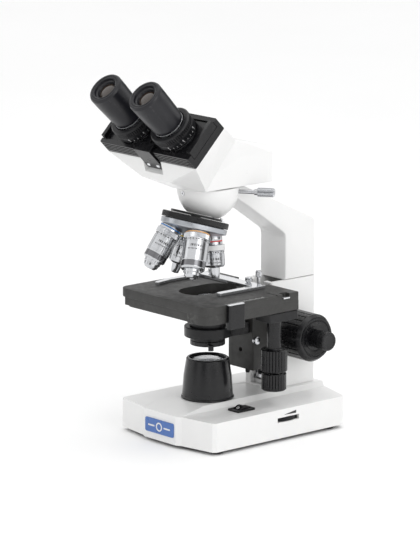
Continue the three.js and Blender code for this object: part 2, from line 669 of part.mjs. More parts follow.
function makeCondenserLens() {
  const top = CONDENSER.top;
  return latheOf([[0, top - 3.6], [9.1, top - 3.6], [9.1, top + 0.4], [8.4, top + 1.4], [0, top + 1.4]], 16);
}

function makeIrisLever() {
  const ring = solid(ringOf(11.4, 16.4, 86.6, 90.6));
  const lever = boxOf(15, 27, -1.6, 1.6, 87.4, 89.8);
  const tab = latheOf([[0, 86], [2.6, 86], [2.6, 91], [0, 91]], 12).translate(27, 0, 0);
  const arm = join(solid(lever), solid(tab));
  return geometryOf(ring.add(arm)).rotateZ(radians(-35));
}

// ---------------------------------------------------------------- assembly
place('base_housing', makeBaseHousing(), WHITE);
place('base_plate', makeBasePlate(), BLACK);
let footNumber = 1;
for (const y of [FOOT.front, FOOT.rear]) {
  for (const x of [-FOOT.x, FOOT.x]) {
    place(`foot_${footNumber}`, makeFoot(x, y), RUBBER);
    footNumber += 1;
  }
}
place('switch_frame', makeSwitchFrame(), BLACK);
place('switch_rocker', makeSwitchRocker(), BLACK);
place('dimmer_wheel', makeDimmerWheel(), BLACK);
place('dc_inlet', makeInlet(), BLACK);
place('lamp_housing', makeLampHousing(), BLACK);
place('collector_lens', makeCollectorLens(), GLASS);
place('led_board', makeLedBoard(), BRASS);
place('focus_housing', makeFocusHousing(), WHITE);
place('arm', makeArm(), WHITE);
place('head_lock_screw', makeLockScrew(), CHROME);

place('nosepiece_mount', makeNosepieceMount(), BLACK, nosepiece);
place('click_spring', makeClickSpring(), BLACK, nosepiece);
place('turret_disc', makeTurretDisc(), SATIN, nosepiece);
place('turret_grip', makeGripRing(), RUBBER, nosepiece);
for (const objective of OBJECTIVES) {
  const matrix = objectiveMatrix(objective.place);
  place(objective.name, makeObjective(objective).applyMatrix4(matrix), CHROME, nosepiece);
  if (objective.sprung) {
    place(`${objective.name}_nose`, makeSprungNose(objective).applyMatrix4(matrix), CHROME, nosepiece);
  }
}

place('head_housing', makeHeadHousing(), WHITE);
place('head_collar', makeHeadCollar(), SATIN);
place('head_prism', makePrism(), GLASS);
place('face_frame', makeFaceFrame(), BLACK, face);
place('centre_bracket', makeCentreBracket(), BLACK, face);
for (const [label, side] of [['left', -1], ['right', 1]]) {
  place(`slide_plate_${label}`, makeSlidePlate(side), BLACK, face);
  const barrel = new THREE.Group();
  barrel.position.set(side * EYE.x, EYE.v, 0);
  face.add(barrel);
  place(`eyepiece_tube_${label}`, makeEyepieceTube(), BLACK, barrel);
  place(`diopter_ring_${label}`, makeDiopterRing(), BLACK, barrel);
  place(`eyepiece_${label}`, makeEyepiece(), RUBBER, barrel);
  place(`coarse_knob_${label}`, makeCoarseKnob(side), RUBBER);
  place(`fine_knob_${label}`, makeFineKnob(side), RUBBER);
}
place('fine_shaft', makeFineShaft(), SATIN);
place('coarse_pinion', makePinion(), BRASS);
place('focus_rack', makeRack(), BRASS);
place('fine_carriage', makeFineCarriage(), SATIN);
place('stage_carrier', makeStageCarrier(), STAGE_BLACK);

place('stage_base', makeStageBase(), STAGE_BLACK);
place('stage_top', makeStageTop(), STAGE_BLACK);
place('stage_side_bracket', makeSideBracket(), STAGE_BLACK);
place('knob_bracket', makeKnobBracket(), STAGE_BLACK);
place('stage_knob_upper', makeUpperKnob(), RUBBER);
place('stage_knob_lower', makeLowerKnob(), RUBBER);
place('slide_holder', makeSlideHolder(), CHROME);
place('spring_finger', makeSpringFinger(), CHROME);

place('condenser_mount', makeCondenserMount(), BLACK);
place('condenser_body', makeCondenserBody(), BLACK);
place('condenser_lens', makeCondenserLens(), GLASS);
place('iris_lever', makeIrisLever(), BLACK);

export default microscope;
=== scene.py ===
"""Looks for the binocular microscope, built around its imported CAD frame.

Shapes are drawn in millimetres in local frames: STAND has its Z on the optical axis, FACE lies
on the tilted face of the head, and NOSE is the turret's. Meshes end up in metres in the row frame.
"""

import json
import math

import bmesh
import bpy
from mathutils import Matrix, Vector


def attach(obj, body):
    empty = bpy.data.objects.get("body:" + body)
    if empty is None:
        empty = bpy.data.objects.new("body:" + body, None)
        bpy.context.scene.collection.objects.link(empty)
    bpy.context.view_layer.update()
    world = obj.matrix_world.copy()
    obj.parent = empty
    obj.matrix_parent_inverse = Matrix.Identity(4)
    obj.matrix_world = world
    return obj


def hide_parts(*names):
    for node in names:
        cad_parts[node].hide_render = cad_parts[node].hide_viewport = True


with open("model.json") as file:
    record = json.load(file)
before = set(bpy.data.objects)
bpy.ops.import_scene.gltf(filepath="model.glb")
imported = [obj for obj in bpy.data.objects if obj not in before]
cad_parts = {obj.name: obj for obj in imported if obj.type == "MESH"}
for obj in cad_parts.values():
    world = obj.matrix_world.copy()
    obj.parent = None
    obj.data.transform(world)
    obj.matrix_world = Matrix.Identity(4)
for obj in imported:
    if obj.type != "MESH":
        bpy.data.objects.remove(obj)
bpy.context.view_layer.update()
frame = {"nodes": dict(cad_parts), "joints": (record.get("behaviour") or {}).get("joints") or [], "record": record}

MM = 0.001
scene = bpy.context.scene
nodes = frame["nodes"]
joints = {joint["name"]: joint for joint in frame["joints"]}
body_of = {node: body for body, members in frame["record"]["behaviour"]["bodies"].items() for node in members}

# ---------------- local frames


def placed(origin, up):
    """A frame in millimetres whose Z is up and whose X stays near the object's X."""
    up = Vector(up).normalized()
    ahead = up.cross(Vector((1, 0, 0))).normalized()
    turn = Matrix((ahead.cross(up), ahead, up)).transposed().to_4x4()
    return Matrix.Translation(origin) @ turn @ Matrix.Scale(MM, 4)


def shifted(place, x=0.0, y=0.0, z=0.0):
    return place @ Matrix.Translation((x, y, z))


AXIS_Y = joints["head_turn"]["pos_m"][1]
STAND = placed((0, AXIS_Y, 0), (0, 0, 1))
FACE = placed((0, AXIS_Y, 0), joints["diopter_right_turn"]["axis"])
NOSE = placed(joints["turret_turn"]["pos_m"], joints["turret_turn"]["axis"])
# A side view (y, z) stands upright and is drawn along X.
SIDEWAYS = Matrix(((0, 0, 1, 0), (1, 0, 0, 0), (0, 1, 0, 0), (0, 0, 0, 1)))
# Local Z to the front, local Y up.
FRONTWAYS = Matrix(((1, 0, 0, 0), (0, 0, -1, 0), (0, 1, 0, 0), (0, 0, 0, 1)))

TURRET_TILT = math.acos(Vector(joints["turret_turn"]["axis"]).z)
CLICK_ANGLE = math.radians(28)
SEAT_RADIUS = 20


def objective_frame(angle):
    """Z runs down the barrel from its seat on the turret."""
    turned = math.radians(angle) + CLICK_ANGLE
    outward = Vector((math.sin(turned), math.cos(turned), 0))
    down = Vector((0, 0, -math.cos(TURRET_TILT))) + outward * math.sin(TURRET_TILT)
    side = down.cross(outward).normalized()
    matrix = Matrix((side, down.cross(side), down)).transposed().to_4x4()
    matrix.translation = outward * SEAT_RADIUS
    return NOSE @ matrix


def extent(node, place=STAND):
    """Lowest and highest corner of a CAD node, in the millimetres of a local frame."""
    back = place.inverted()
    points = [back @ vertex.co for vertex in nodes[node].data.vertices]
    low = Vector([min(point[i] for point in points) for i in range(3)])
    high = Vector([max(point[i] for point in points) for i in range(3)])
    return low, high

# ---------------- materials


def node_material(name):
    material = bpy.data.materials.new(name)
    material.use_nodes = True
    tree = material.node_tree
    return material, tree, tree.nodes["Principled BSDF"]


def add_node(tree, kind, **inputs):
    node = tree.nodes.new(kind)
    for key, value in inputs.items():
        node.inputs[key.replace("_", " ")].default_value = value
    return node


def noise(tree, vector, scale, detail=4.0, roughness=0.55):
    node = add_node(tree, "ShaderNodeTexNoise", Scale=scale, Detail=detail, Roughness=roughness)
    tree.links.new(vector, node.inputs["Vector"])
    return node.outputs["Fac"]


def spread(tree, value, low, high, start=0.3, stop=0.7):
    """Maps a 0 to 1 pattern onto a range."""
    node = tree.nodes.new("ShaderNodeMapRange")
    for key, number in (("From Min", start), ("From Max", stop), ("To Min", low), ("To Max", high)):
        node.inputs[key].default_value = number
    tree.links.new(value, node.inputs["Value"])
    return node.outputs["Result"]


def blended(tree, factor, first, second):
    """A colour between two, by a pattern."""
    node = tree.nodes.new("ShaderNodeMix")
    node.data_type = "RGBA"
    node.inputs["A"].default_value = (*first, 1)
    if isinstance(second, tuple):
        node.inputs["B"].default_value = (*second, 1)
    else:
        tree.links.new(second, node.inputs["B"])
    tree.links.new(factor, node.inputs["Factor"])
    return node.outputs["Result"]


def bumped(tree, shader, height, distance, strength=1.0):
    node = add_node(tree, "ShaderNodeBump", Strength=strength, Distance=distance)
    tree.links.new(height, node.inputs["Height"])
    tree.links.new(node.outputs["Normal"], shader.inputs["Normal"])


def coated(
    name, color, worn, roughness, grain=0.5, depth=0.02, metallic=0.0, coat=0.0, wear=1.0, shine=0.5,
    tone=0.95,
):
    """Paint, plastic or rubber: a fine grain, soft patches of tone and gloss, and rubbed edges.
    grain and depth are in millimetres."""
    material, tree, shader = node_material(name)
    where = tree.nodes.new("ShaderNodeTexCoord").outputs["Object"]
    patches = noise(tree, where, 45.0, 5.0)
    fine = noise(tree, where, 1.0 / (grain * MM), 3.0)
    darker = tuple(channel * tone for channel in color)
    tone = tree.nodes.new("ShaderNodeMix")
    tone.data_type = "RGBA"
    tone.inputs["A"].default_value = (*darker, 1)
    tone.inputs["B"].default_value = (*color, 1)
    tree.links.new(spread(tree, patches, 0.0, 1.0), tone.inputs["Factor"])
    edges = tree.nodes.new("ShaderNodeNewGeometry").outputs["Pointiness"]
    rubbed = tree.nodes.new("ShaderNodeMath")
    rubbed.operation = "MULTIPLY"
    tree.links.new(spread(tree, edges, 0.0, wear, 0.53, 0.62), rubbed.inputs[0])
    tree.links.new(spread(tree, noise(tree, where, 260.0, 6.0), 0.0, 1.0, 0.45, 0.7), rubbed.inputs[1])
    worn_mix = tree.nodes.new("ShaderNodeMix")
    worn_mix.data_type = "RGBA"
    worn_mix.inputs["B"].default_value = (*worn, 1)
    tree.links.new(tone.outputs["Result"], worn_mix.inputs["A"])
    tree.links.new(rubbed.outputs[0], worn_mix.inputs["Factor"])
    tree.links.new(worn_mix.outputs["Result"], shader.inputs["Base Color"])
    smears = noise(tree, where, 120.0, 6.0, 0.7)
    rough = spread(tree, smears, roughness * 0.8, min(1.0, roughness * 1.25))
    tree.links.new(rough, shader.inputs["Roughness"])
    bumped(tree, shader, fine, depth * MM)
    shader.inputs["Metallic"].default_value = metallic
    shader.inputs["Specular IOR Level"].default_value = shine
    shader.inputs["Coat Weight"].default_value = coat
    shader.inputs["Coat Roughness"].default_value = 0.08
    return material


def turned_metal(name, color, roughness, pitch=0.3, depth=0.004, dull=0.5):
    """Metal with the fine rings that a lathe leaves, which follow the piece's own axis."""
    material, tree, shader = node_material(name)
    local = tree.nodes.new("ShaderNodeAttribute")
    local.attribute_name = "turned"
    rings = noise(tree, local.outputs["Vector"], 1.0 / pitch, 2.0)
    where = tree.nodes.new("ShaderNodeTexCoord").outputs["Object"]
    smears = noise(tree, where, 150.0, 6.0, 0.65)
    darker = tuple(channel * 0.82 for channel in color)
    tree.links.new(blended(tree, spread(tree, rings, 0.0, 1.0), darker, color), shader.inputs["Base Color"])
    rough = spread(tree, smears, roughness * (1 - dull), roughness * (1 + dull))
    tree.links.new(rough, shader.inputs["Roughness"])
    bumped(tree, shader, rings, depth * MM)
    shader.inputs["Metallic"].default_value = 1.0
    return material


def clear_glass(name, color, roughness=0.02, transmission=1.0, coat=0.6):
    material, tree, shader = node_material(name)
    where = tree.nodes.new("ShaderNodeTexCoord").outputs["Object"]
    dust = noise(tree, where, 900.0, 6.0, 0.7)
    tree.links.new(spread(tree, dust, roughness, roughness + 0.05), shader.inputs["Roughness"])
    tint = blended(
        tree, spread(tree, noise(tree, where, 60.0), 0.0, 1.0), color, tuple(c * 0.93 for c in color),
    )
    tree.links.new(tint, shader.inputs["Base Color"])
    bumped(tree, shader, dust, 0.002 * MM)
    shader.inputs["Transmission Weight"].default_value = transmission
    shader.inputs["IOR"].default_value = 1.52
    shader.inputs["Coat Weight"].default_value = coat
    return material


WHITE = coated(
    "white enamel", (0.82, 0.82, 0.815), (0.76, 0.76, 0.75), 0.34, grain=0.9, depth=0.003, coat=0.2,
    wear=0.2, tone=0.985,
)
BLACK = coated(
    "satin black paint", (0.008, 0.008, 0.009), (0.05, 0.05, 0.05), 0.34, grain=0.35, depth=0.006,
    shine=0.35,
)
DARK = coated(
    "gloss black", (0.006, 0.006, 0.007), (0.035, 0.035, 0.035), 0.24, grain=0.8, depth=0.004, shine=0.4,
)
STAGE_COAT = coated(
    "stage coating", (0.026, 0.0255, 0.024), (0.09, 0.09, 0.085), 0.5, grain=0.28, depth=0.012, shine=0.55,
)
PLASTIC = coated(
    "moulded plastic", (0.008, 0.008, 0.0095), (0.05, 0.05, 0.05), 0.38, grain=0.4, depth=0.012,
    shine=0.35,
)
RUBBER = coated("rubber", (0.015, 0.015, 0.016), (0.05, 0.05, 0.05), 0.7, grain=0.3, depth=0.03, shine=0.3)
CHROME = turned_metal("chrome plating", (0.62, 0.63, 0.65), 0.17, depth=0.0001, dull=0.15)
DARK_CHROME = turned_metal("dark polished metal", (0.2, 0.2, 0.21), 0.16, depth=0.0004, dull=0.25)
SATIN = turned_metal("satin chrome", (0.6, 0.61, 0.63), 0.28, pitch=0.2, depth=0.0008, dull=0.3)
DULL = turned_metal("turned aluminium", (0.5, 0.52, 0.55), 0.36, pitch=0.25, depth=0.005)
STEEL = coated("plated steel", (0.74, 0.75, 0.77), (0.9, 0.9, 0.9), 0.2, grain=0.6, depth=0.004, metallic=1.0)
BRASS = coated("brass", (0.6, 0.43, 0.18), (0.8, 0.62, 0.32), 0.3, grain=0.5, depth=0.006, metallic=1.0)
GLASS = clear_glass("optical glass", (0.93, 0.95, 0.97))
FROSTED = clear_glass("lamp glass", (0.9, 0.92, 0.95), roughness=0.16, transmission=0.75)
BLUE = coated(
    "badge blue", (0.035, 0.13, 0.42), (0.2, 0.3, 0.6), 0.3, grain=0.6, depth=0.006, coat=0.5, wear=0.3,
)
MARKING = coated("white marking", (0.75, 0.75, 0.75), (0.6, 0.6, 0.6), 0.5, grain=0.3, depth=0.005)
INK = coated("black marking", (0.03, 0.03, 0.03), (0.1, 0.1, 0.1), 0.5, grain=0.3, depth=0.005)
LAMP_BOARD = coated("lamp reflector", (0.72, 0.72, 0.7), (0.8, 0.8, 0.8), 0.4, grain=0.5, depth=0.01)
EYEPIECE_BLACK = coated(
    "eyepiece barrel", (0.009, 0.009, 0.012), (0.035, 0.035, 0.04), 0.33, grain=0.5, depth=0.008,
    shine=0.4,
)
AMBER_GLASS = coated(
    "coated eye lens", (0.03, 0.018, 0.011), (0.06, 0.05, 0.04), 0.06, grain=0.8, depth=0.001, coat=0.6,
)
KNOB_BLACK = coated(
    "knob plastic", (0.006, 0.006, 0.007), (0.06, 0.06, 0.06), 0.26, grain=0.4, depth=0.006, shine=0.4,
)
BAND_COLORS = {
    "4x": (0.72, 0.03, 0.025), "10x": (0.8, 0.55, 0.03),
    "40x": (0.03, 0.2, 0.55), "100x": (0.75, 0.38, 0.12),
}

# ---------------- meshes


def show(name, bm, place, smooth=32):
    """Makes an object of a mesh drawn in a local frame, and keeps the local places for turned metal."""
    bmesh.ops.recalc_face_normals(bm, faces=bm.faces)
    mesh = bpy.data.meshes.new(name)
    bm.to_mesh(mesh)
    bm.free()
    turned_at = mesh.attributes.new("turned", "FLOAT_VECTOR", "POINT")
    for vertex, item in zip(mesh.vertices, turned_at.data):
        item.vector = (math.hypot(vertex.co.x, vertex.co.y), 0, vertex.co.z)
    mesh.transform(place)
    mesh.update()
    obj = bpy.data.objects.new(name, mesh)
    scene.collection.objects.link(obj)
    smooth_by_angle(mesh, smooth)
    return obj


def smooth_by_angle(mesh, degrees):
    for polygon in mesh.polygons:
        polygon.use_smooth = True
    mesh.set_sharp_from_angle(angle=math.radians(degrees))


def rounded(points, radius, closed, steps=3):
    """Points [a, b] or [a, b, own radius] with their corners turned into short curves."""
    result = []
    count = len(points)
    for i, point in enumerate(points):
        own = point[2] if len(point) > 2 else radius
        here = Vector(point[:2])
        if own == 0 or (not closed and i in (0, count - 1)):
            result.append(here)
            continue
        back = Vector(points[i - 1][:2]) - here
        ahead = Vector(points[(i + 1) % count][:2]) - here
        half = back.angle(ahead) / 2
        if half > math.radians(87):
            result.append(here)
            continue
        reach = min(own / math.tan(half), 0.45 * back.length, 0.45 * ahead.length)
        start = here + back.normalized() * reach
        end = here + ahead.normalized() * reach
        for step in range(steps + 1):
            t = step / steps
            result.append(start * (1 - t) ** 2 + here * (2 * t * (1 - t)) + end * t ** 2)
    return result


def turned(name, profile, place, segments=72, radius=0.3, ripple=None):
    """Turns (radius, height) pairs about Z. A profile ends on the axis or closes on itself."""
    closed = profile[0][0] > 0 and tuple(profile[0][:2]) == tuple(profile[-1][:2])
    line = rounded(profile[:-1] if closed else profile, radius, closed)
    bm = bmesh.new()
    rows = []
    for distance, height in line:
        if distance < 1e-6:
            rows.append([bm.verts.new((0, 0, height))] * segments)
            continue
        row = []
        for i in range(segments):
            angle = 2 * math.pi * i / segments
            here = ripple(distance, height, angle) if ripple else distance
            row.append(bm.verts.new((here * math.cos(angle), here * math.sin(angle), height)))
        rows.append(row)
    pairs = list(zip(rows, rows[1:]))
    if closed:
        pairs.append((rows[-1], rows[0]))
    for first, second in pairs:
        for i in range(segments):
            j = (i + 1) % segments
            corners = []
            for vertex in (first[i], first[j], second[j], second[i]):
                if vertex not in corners:
                    corners.append(vertex)
            if len(corners) > 2:
                bm.faces.new(corners)
    return show(name, bm, place)


def grip(radius, low, high, ramp=0.6):
    """Profile points for a ribbed band, which stay sharp so that the ribs have ends."""
    return [(radius, low, 0), (radius, low + ramp, 0), (radius, high - ramp, 0), (radius, high, 0)]


def closed_band(inner, outer, low, high):
    return [(inner, low), (outer, low), (outer, high), (inner, high), (inner, low)]


def rod(radius, low, high):
    return [(0, low), (radius, low), (radius, high), (0, high)]


def ribs(low, high, count, depth, width=0.5):
    """Grooves cut along a band of a turned piece. width is a groove's share of its pitch."""
    def ripple(distance, height, angle):
        if not low + 0.01 < height < high - 0.01:
            return distance
        phase = (angle * count / (2 * math.pi)) % 1.0
        away = abs(phase - 0.5) * 2
        return distance - depth * max(0.0, 1 - away / width)
    return ripple


def slab_mesh(outline, low, high, edge, steps=3):
    """A plate of an outline, with round upper and lower edges."""
    area = sum(a.x * b.y - b.x * a.y for a, b in zip(outline, outline[1:] + outline[:1]))
    points = outline if area > 0 else outline[::-1]
    count = len(points)
    inward = []
    for i, here in enumerate(points):
        back = (here - points[i - 1]).normalized()
        ahead = (points[(i + 1) % count] - here).normalized()
        middle = Vector((-back.y - ahead.y, back.x + ahead.x))
        normal = Vector((-back.y, back.x))
        inward.append(middle.normalized() / max(0.3, middle.normalized().dot(normal)))
    levels = []
    for step in range(steps + 1):
        turn = math.pi / 2 * step / steps
        levels.append((edge * (1 - math.sin(turn)), edge * (1 - math.cos(turn))))
    heights = [(inset, low + rise) for inset, rise in levels]
    heights += [(inset, high - rise) for inset, rise in levels[::-1]]
    bm = bmesh.new()
    rows = [
        [bm.verts.new((*(p + n * inset), height)) for p, n in zip(points, inward)]
        for inset, height in heights
    ]
    for first, second in zip(rows, rows[1:]):
        for i in range(count):
            j = (i + 1) % count
            bm.faces.new((first[i], first[j], second[j], second[i]))
    bm.faces.new(rows[0][::-1])
    bm.faces.new(rows[-1])
    return bm


def slab(name, points, place, low, high, corner=0.0, edge=0.4, steps=4):
    outline = rounded(points, corner, True, steps)
    return show(name, slab_mesh(outline, low, high, edge), place)


def rectangle(x0, x1, y0, y1):
    return [(x0, y0), (x1, y0), (x1, y1), (x0, y1)]


def block(name, place, x0, x1, y0, y1, z0, z1, corner=0.5, edge=0.4):
    return slab(name, rectangle(x0, x1, y0, y1), place, z0, z1, corner, edge)


def combine(obj, tools, operation="DIFFERENCE"):
    """Cuts tools from a piece, or joins them to it, and removes them."""
    for tool in tools:
        modifier = obj.modifiers.new("tool", "BOOLEAN")
        modifier.operation = operation
        modifier.solver = "EXACT"
        modifier.object = tool
    bpy.context.view_layer.update()
    evaluated = obj.evaluated_get(bpy.context.evaluated_depsgraph_get())
    mesh = bpy.data.meshes.new_from_object(evaluated)
    obj.modifiers.clear()
    obj.data = mesh
    for tool in tools:
        bpy.data.objects.remove(tool)
    smooth_by_angle(mesh, 32)
    return obj


def soften(obj, width, angle=35, segments=3):
    """Rounds the sharp edges of a piece. width is in millimetres."""
    bevel = obj.modifiers.new("edges", "BEVEL")
    bevel.width = width * MM
    bevel.segments = segments
    bevel.limit_method = "ANGLE"
    bevel.angle_limit = math.radians(angle)
    bevel.harden_normals = True
    return obj


def fitted(obj, material, node, replaces=True):
    """Gives a piece its finish, and lets it ride with a CAD node, which it may stand for."""
    obj.data.materials.clear()
    obj.data.materials.append(material)
    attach(obj, body_of[node])
    if replaces:
        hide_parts(node)
    if not obj.modifiers:
        even = obj.modifiers.new("even normals", "WEIGHTED_NORMAL")
        even.keep_sharp = True
    return obj


def kept(node, material, width=0.0, angle=30, whole=True):
    """A CAD node that stays, with its flat faces whole, its edges rounded and its own finish."""
    obj = nodes[node]
    obj.data.materials.clear()
    obj.data.materials.append(material)
    if width:
        weld = obj.modifiers.new("weld", "WELD")
        weld.merge_threshold = 0.01 * MM
        if whole:
            flat = obj.modifiers.new("flat", "DECIMATE")
            flat.decimate_type = "DISSOLVE"
            flat.angle_limit = math.radians(0.6)
        soften(obj, width, angle)
    return obj

# ---------------- base


def make_base():
    kept("base_housing", WHITE, 0.9)
    kept("base_plate", BLACK)
    kept("dc_inlet", PLASTIC)
    for number in range(1, 5):
        node = f"foot_{number}"
        low, high = extent(node)
        middle = (low + high) / 2
        size = (high.x - low.x) / 2
        profile = [(0, low.z), (size - 1, low.z, 0.2), (size, low.z + 1.2, 0.8), (size, high.z), (0, high.z)]
        foot = turned(f"{node}_pad", profile, shifted(STAND, middle.x, middle.y), 40)
        fitted(foot, RUBBER, node)
        screw = [(0, -0.1), (2.2, -0.1), (2.2, 0.9), (1.2, 0.9), (1.2, 0.3), (0, 0.3)]
        screw_place = shifted(STAND, middle.x, middle.y, low.z + 0.1)
        fitted(turned(f"{node}_screw", screw, screw_place, 24), STEEL, node, False)


BADGE_HEIGHT = 16.3


def make_badge():
    """A plain enamelled badge with a generic ring and two bars in relief."""
    wall = extent("base_housing")[0].y
    front = shifted(STAND, 0, wall - 0.05, BADGE_HEIGHT) @ FRONTWAYS
    plate = block("front_badge", front, -20, 20, -6.75, 6.75, 0, 1.0, corner=2.2, edge=0.3)
    fitted(plate, BLUE, "base_housing", False)
    ring = turned("front_badge_ring", closed_band(2.9, 4.2, 0.9, 1.2), front, 48, 0.05)
    fitted(ring, MARKING, "base_housing", False)
    for number, (x0, x1) in enumerate(((-15.5, -6.5), (6.5, 15.5)), 1):
        bar = block(f"front_badge_bar_{number}", front, x0, x1, -0.75, 0.75, 0.9, 1.2, corner=0.6, edge=0.08)
        fitted(bar, MARKING, "base_housing", False)


def make_switch():
    kept("switch_frame", PLASTIC, 0.4)
    kept("switch_rocker", DARK, 0.35)
    low, high = extent("switch_rocker")
    middle_x = (low.x + high.x) / 2
    slope = math.atan2(3.5, 6.0)
    for number, (y, turn) in enumerate(((low.y + 3.1, slope), (high.y - 3.2, -slope)), 1):
        top = shifted(STAND, middle_x, y, low.z + 6.85) @ Matrix.Rotation(turn, 4, "X")
        if number == 1:
            mark = turned("switch_mark_off", closed_band(1.0, 1.45, -0.1, 0.12), top, 32, 0.02)
        else:
            mark = block("switch_mark_on", top, -1.5, 1.5, -0.3, 0.3, -0.1, 0.12, 0.1, 0.04)
        fitted(mark, MARKING, "switch_rocker", False)


def make_dimmer():
    low, high = extent("dimmer_wheel")
    middle = (low + high) / 2
    radius = (high.x - low.x) / 2
    half = (high.z - low.z) / 2
    profile = [
        (2, -half), (radius - 1, -half), *grip(radius, 0.4 - half, half - 0.4, 0.3), (radius - 1, half),
        (2, half), (2, -half),
    ]
    wheel = turned(
        "dimmer_wheel_ribbed", profile, shifted(STAND, *middle), 480, 0.2, ribs(-half, half, 80, 0.5),
    )
    fitted(wheel, PLASTIC, "dimmer_wheel")
    side = extent("base_housing")[1].x
    wedge = [
        (middle.y - 6, middle.z + 4.4), (middle.y + 9.6, middle.z + 4.0), (middle.y + 9.6, middle.z + 6.8),
    ]
    mark = slab("dimmer_wedge", wedge, STAND @ SIDEWAYS, side - 0.1, side + 0.12, 0.1, 0.04)
    fitted(mark, INK, "base_housing", False)

# ---------------- lamp


def make_lamp():
    low, high = extent("lamp_housing")
    foot = high.x
    bottom, top = low.z, high.z
    rim = 20.0
    profile = [
        (foot - 4, bottom), (foot, bottom), (foot, bottom + 1.4, 0.6), (foot - 0.9, bottom + 2.2, 0.5),
        (rim + 2.4, bottom + 22, 30), (rim + 0.3, top - 3.4, 2), (rim, top - 1.2, 1.0),
        (rim - 1, top, 0.7), (rim - 2.6, top, 0.5), (rim - 3.2, top - 1.2), (rim - 3.2, top - 5.2),
        (rim - 4, top - 9), (foot - 4, bottom),
    ]
    fitted(turned("lamp_housing_turned", profile, STAND, 96), DARK, "lamp_housing")
    lens_low, lens_high = extent("collector_lens")
    base = lens_low.z
    reach = rim - 3.4
    dome = [(reach * math.cos(a), base + 2.4 + (lens_high.z - base - 2.4) * math.sin(a))
            for a in [math.radians(9 * i) for i in range(11)]]
    profile = [(0, base), (reach, base), *[(r, h, 0) for r, h in dome[:-1]], (0, lens_high.z)]
    fitted(turned("collector_lens_ground", profile, STAND, 96), FROSTED, "collector_lens")
    kept("led_board", LAMP_BOARD)

# ---------------- arm and stand


def make_stand():
    kept("focus_housing", WHITE, 0.8)
    fitted(cast_arm(), WHITE, "arm")
    screw = [(0, 0.5), (1.1, 0.5), (1.1, 1.3, 0.05), (2.1, 1.3, 0.15), (2.1, -2), (0, -2)]
    hole = placed(Vector((-2, -28.2, 232)) * MM + Vector((0, AXIS_Y, 0)), (-0.07, -1, 0))
    fitted(turned("bowl_set_screw", screw, hole, 24, 0.05), STEEL, "arm", False)


def cast_arm():
    """The arm: a swept box beam run into a bowl, with the socket for the head and the light bore."""
    low, high = extent("arm")
    half = 17.6
    front, rear = 81.5, high.y
    side = [
        (front, low.z), (rear, low.z), (rear, 189.4, 2), (117.9, 192, 2), (115.6, 194, 2),
        (68.9, 215.8, 2), (29, 234.6), (12, 234.6), (12, 229.4), (34, 215.4, 2), (78, 185, 1),
        (80.7, 182.2, 2), (front, 178.6, 1),
    ]
    beam = slab("arm_cast", side, STAND @ SIDEWAYS, -half, half, 0.0, 1.3)
    rim = high.z
    radius = 29.0
    depth = 32.5
    curve = [(radius * math.cos(a), rim - 0.8 - (depth - 0.8) * math.sin(a), 0)
             for a in [math.radians(4.5 * i) for i in range(20)]]
    bowl = turned("bowl", [(0, rim), (radius - 0.5, rim, 0.4), *curve, (0, rim - depth)], STAND, 128, 0.3)
    combine(beam, [bowl], "UNION")
    socket = turned("socket", rod(23, 229, rim + 1), STAND, 96, 0)
    bore = turned("bore", rod(10, 150, rim), STAND, 48, 0)
    lock_axis = joints["head_lock_turn"]["axis"]
    lock_place = placed(joints["head_lock_turn"]["pos_m"], lock_axis)
    hole = turned("hole", rod(2.3, 18, 40), lock_place, 32, 0)
    under = turned("under", rod(90, -60, 17.4), NOSE, 32, 0)
    combine(beam, [socket, bore, hole, under])
    return soften(beam, 0.7, 40)


def make_lock_screw():
    place = placed(joints["head_lock_turn"]["pos_m"], joints["head_lock_turn"]["axis"])
    low, high = extent("head_lock_screw", place)
    knob, end, radius = 46.0, high.z, 4.3
    profile = [
        (0, low.z), (1.9, low.z), (1.9, knob - 3, 0.1), (2.8, knob - 2.6), (2.8, knob),
        (radius - 0.5, knob, 0.2), *grip(radius, knob + 0.8, end - 1.4, 0.4),
        (radius - 0.6, end - 0.6, 0.3), (radius - 1.4, end), (0, end),
    ]
    screw = turned("head_lock_screw_turned", profile, place, 288, 0.2, ribs(knob, end, 48, 0.28))
    fitted(screw, CHROME, "head_lock_screw")

# ---------------- nosepiece


# Heights in the NOSE frame of the knurled grip and of the fixed disc above it.
GRIP_LOW, GRIP_HIGH = 8.9, 14.6
DISC_LOW, DISC_HIGH = 14.9, 17.1


def make_turret():
    plate = [(0, 6), (4.7, 6), (4.7, DISC_LOW), (24, DISC_LOW), (24, DISC_HIGH, 0.5), (0, DISC_HIGH)]
    fitted(turned("nosepiece_mount_turned", plate, NOSE, 72), BLACK, "nosepiece_mount")
    kept("click_spring", STEEL)
    radius = extent("turret_grip", NOSE)[1].x - 0.3
    slope = math.tan(TURRET_TILT)
    seat = (8 - SEAT_RADIUS) * slope
    disc = [
        (5, seat), (8, seat), (radius - 0.8, 3.3, 0.3), (radius, 4.2), (radius, 8.3, 0.3),
        (radius - 3.6, 8.6), (radius - 4, 11), (5, 11), (5, seat),
    ]
    fitted(turned("turret_disc_turned", disc, NOSE, 128), DULL, "turret_disc")
    screw = [
        (0, seat - 1.6), (3, seat - 1.4, 0.4), (3.4, seat - 0.6), (4.6, seat - 0.4), (4.6, seat + 4),
        (0, seat + 4),
    ]
    fitted(turned("turret_screw", screw, NOSE, 48), STEEL, "turret_disc", False)
    band = [
        (radius - 3.6, GRIP_LOW), (radius - 0.2, GRIP_LOW, 0.3),
        *grip(radius + 0.3, GRIP_LOW + 0.5, GRIP_HIGH - 0.9, 0.35), (radius - 0.4, GRIP_HIGH, 0.8),
        (radius - 3.6, GRIP_HIGH), (radius - 3.6, GRIP_LOW),
    ]
    grip_band = turned("turret_grip_ribbed", band, NOSE, 900, 0.2, ribs(GRIP_LOW, GRIP_HIGH, 150, 0.16, 0.7))
    fitted(grip_band, DARK, "turret_grip")


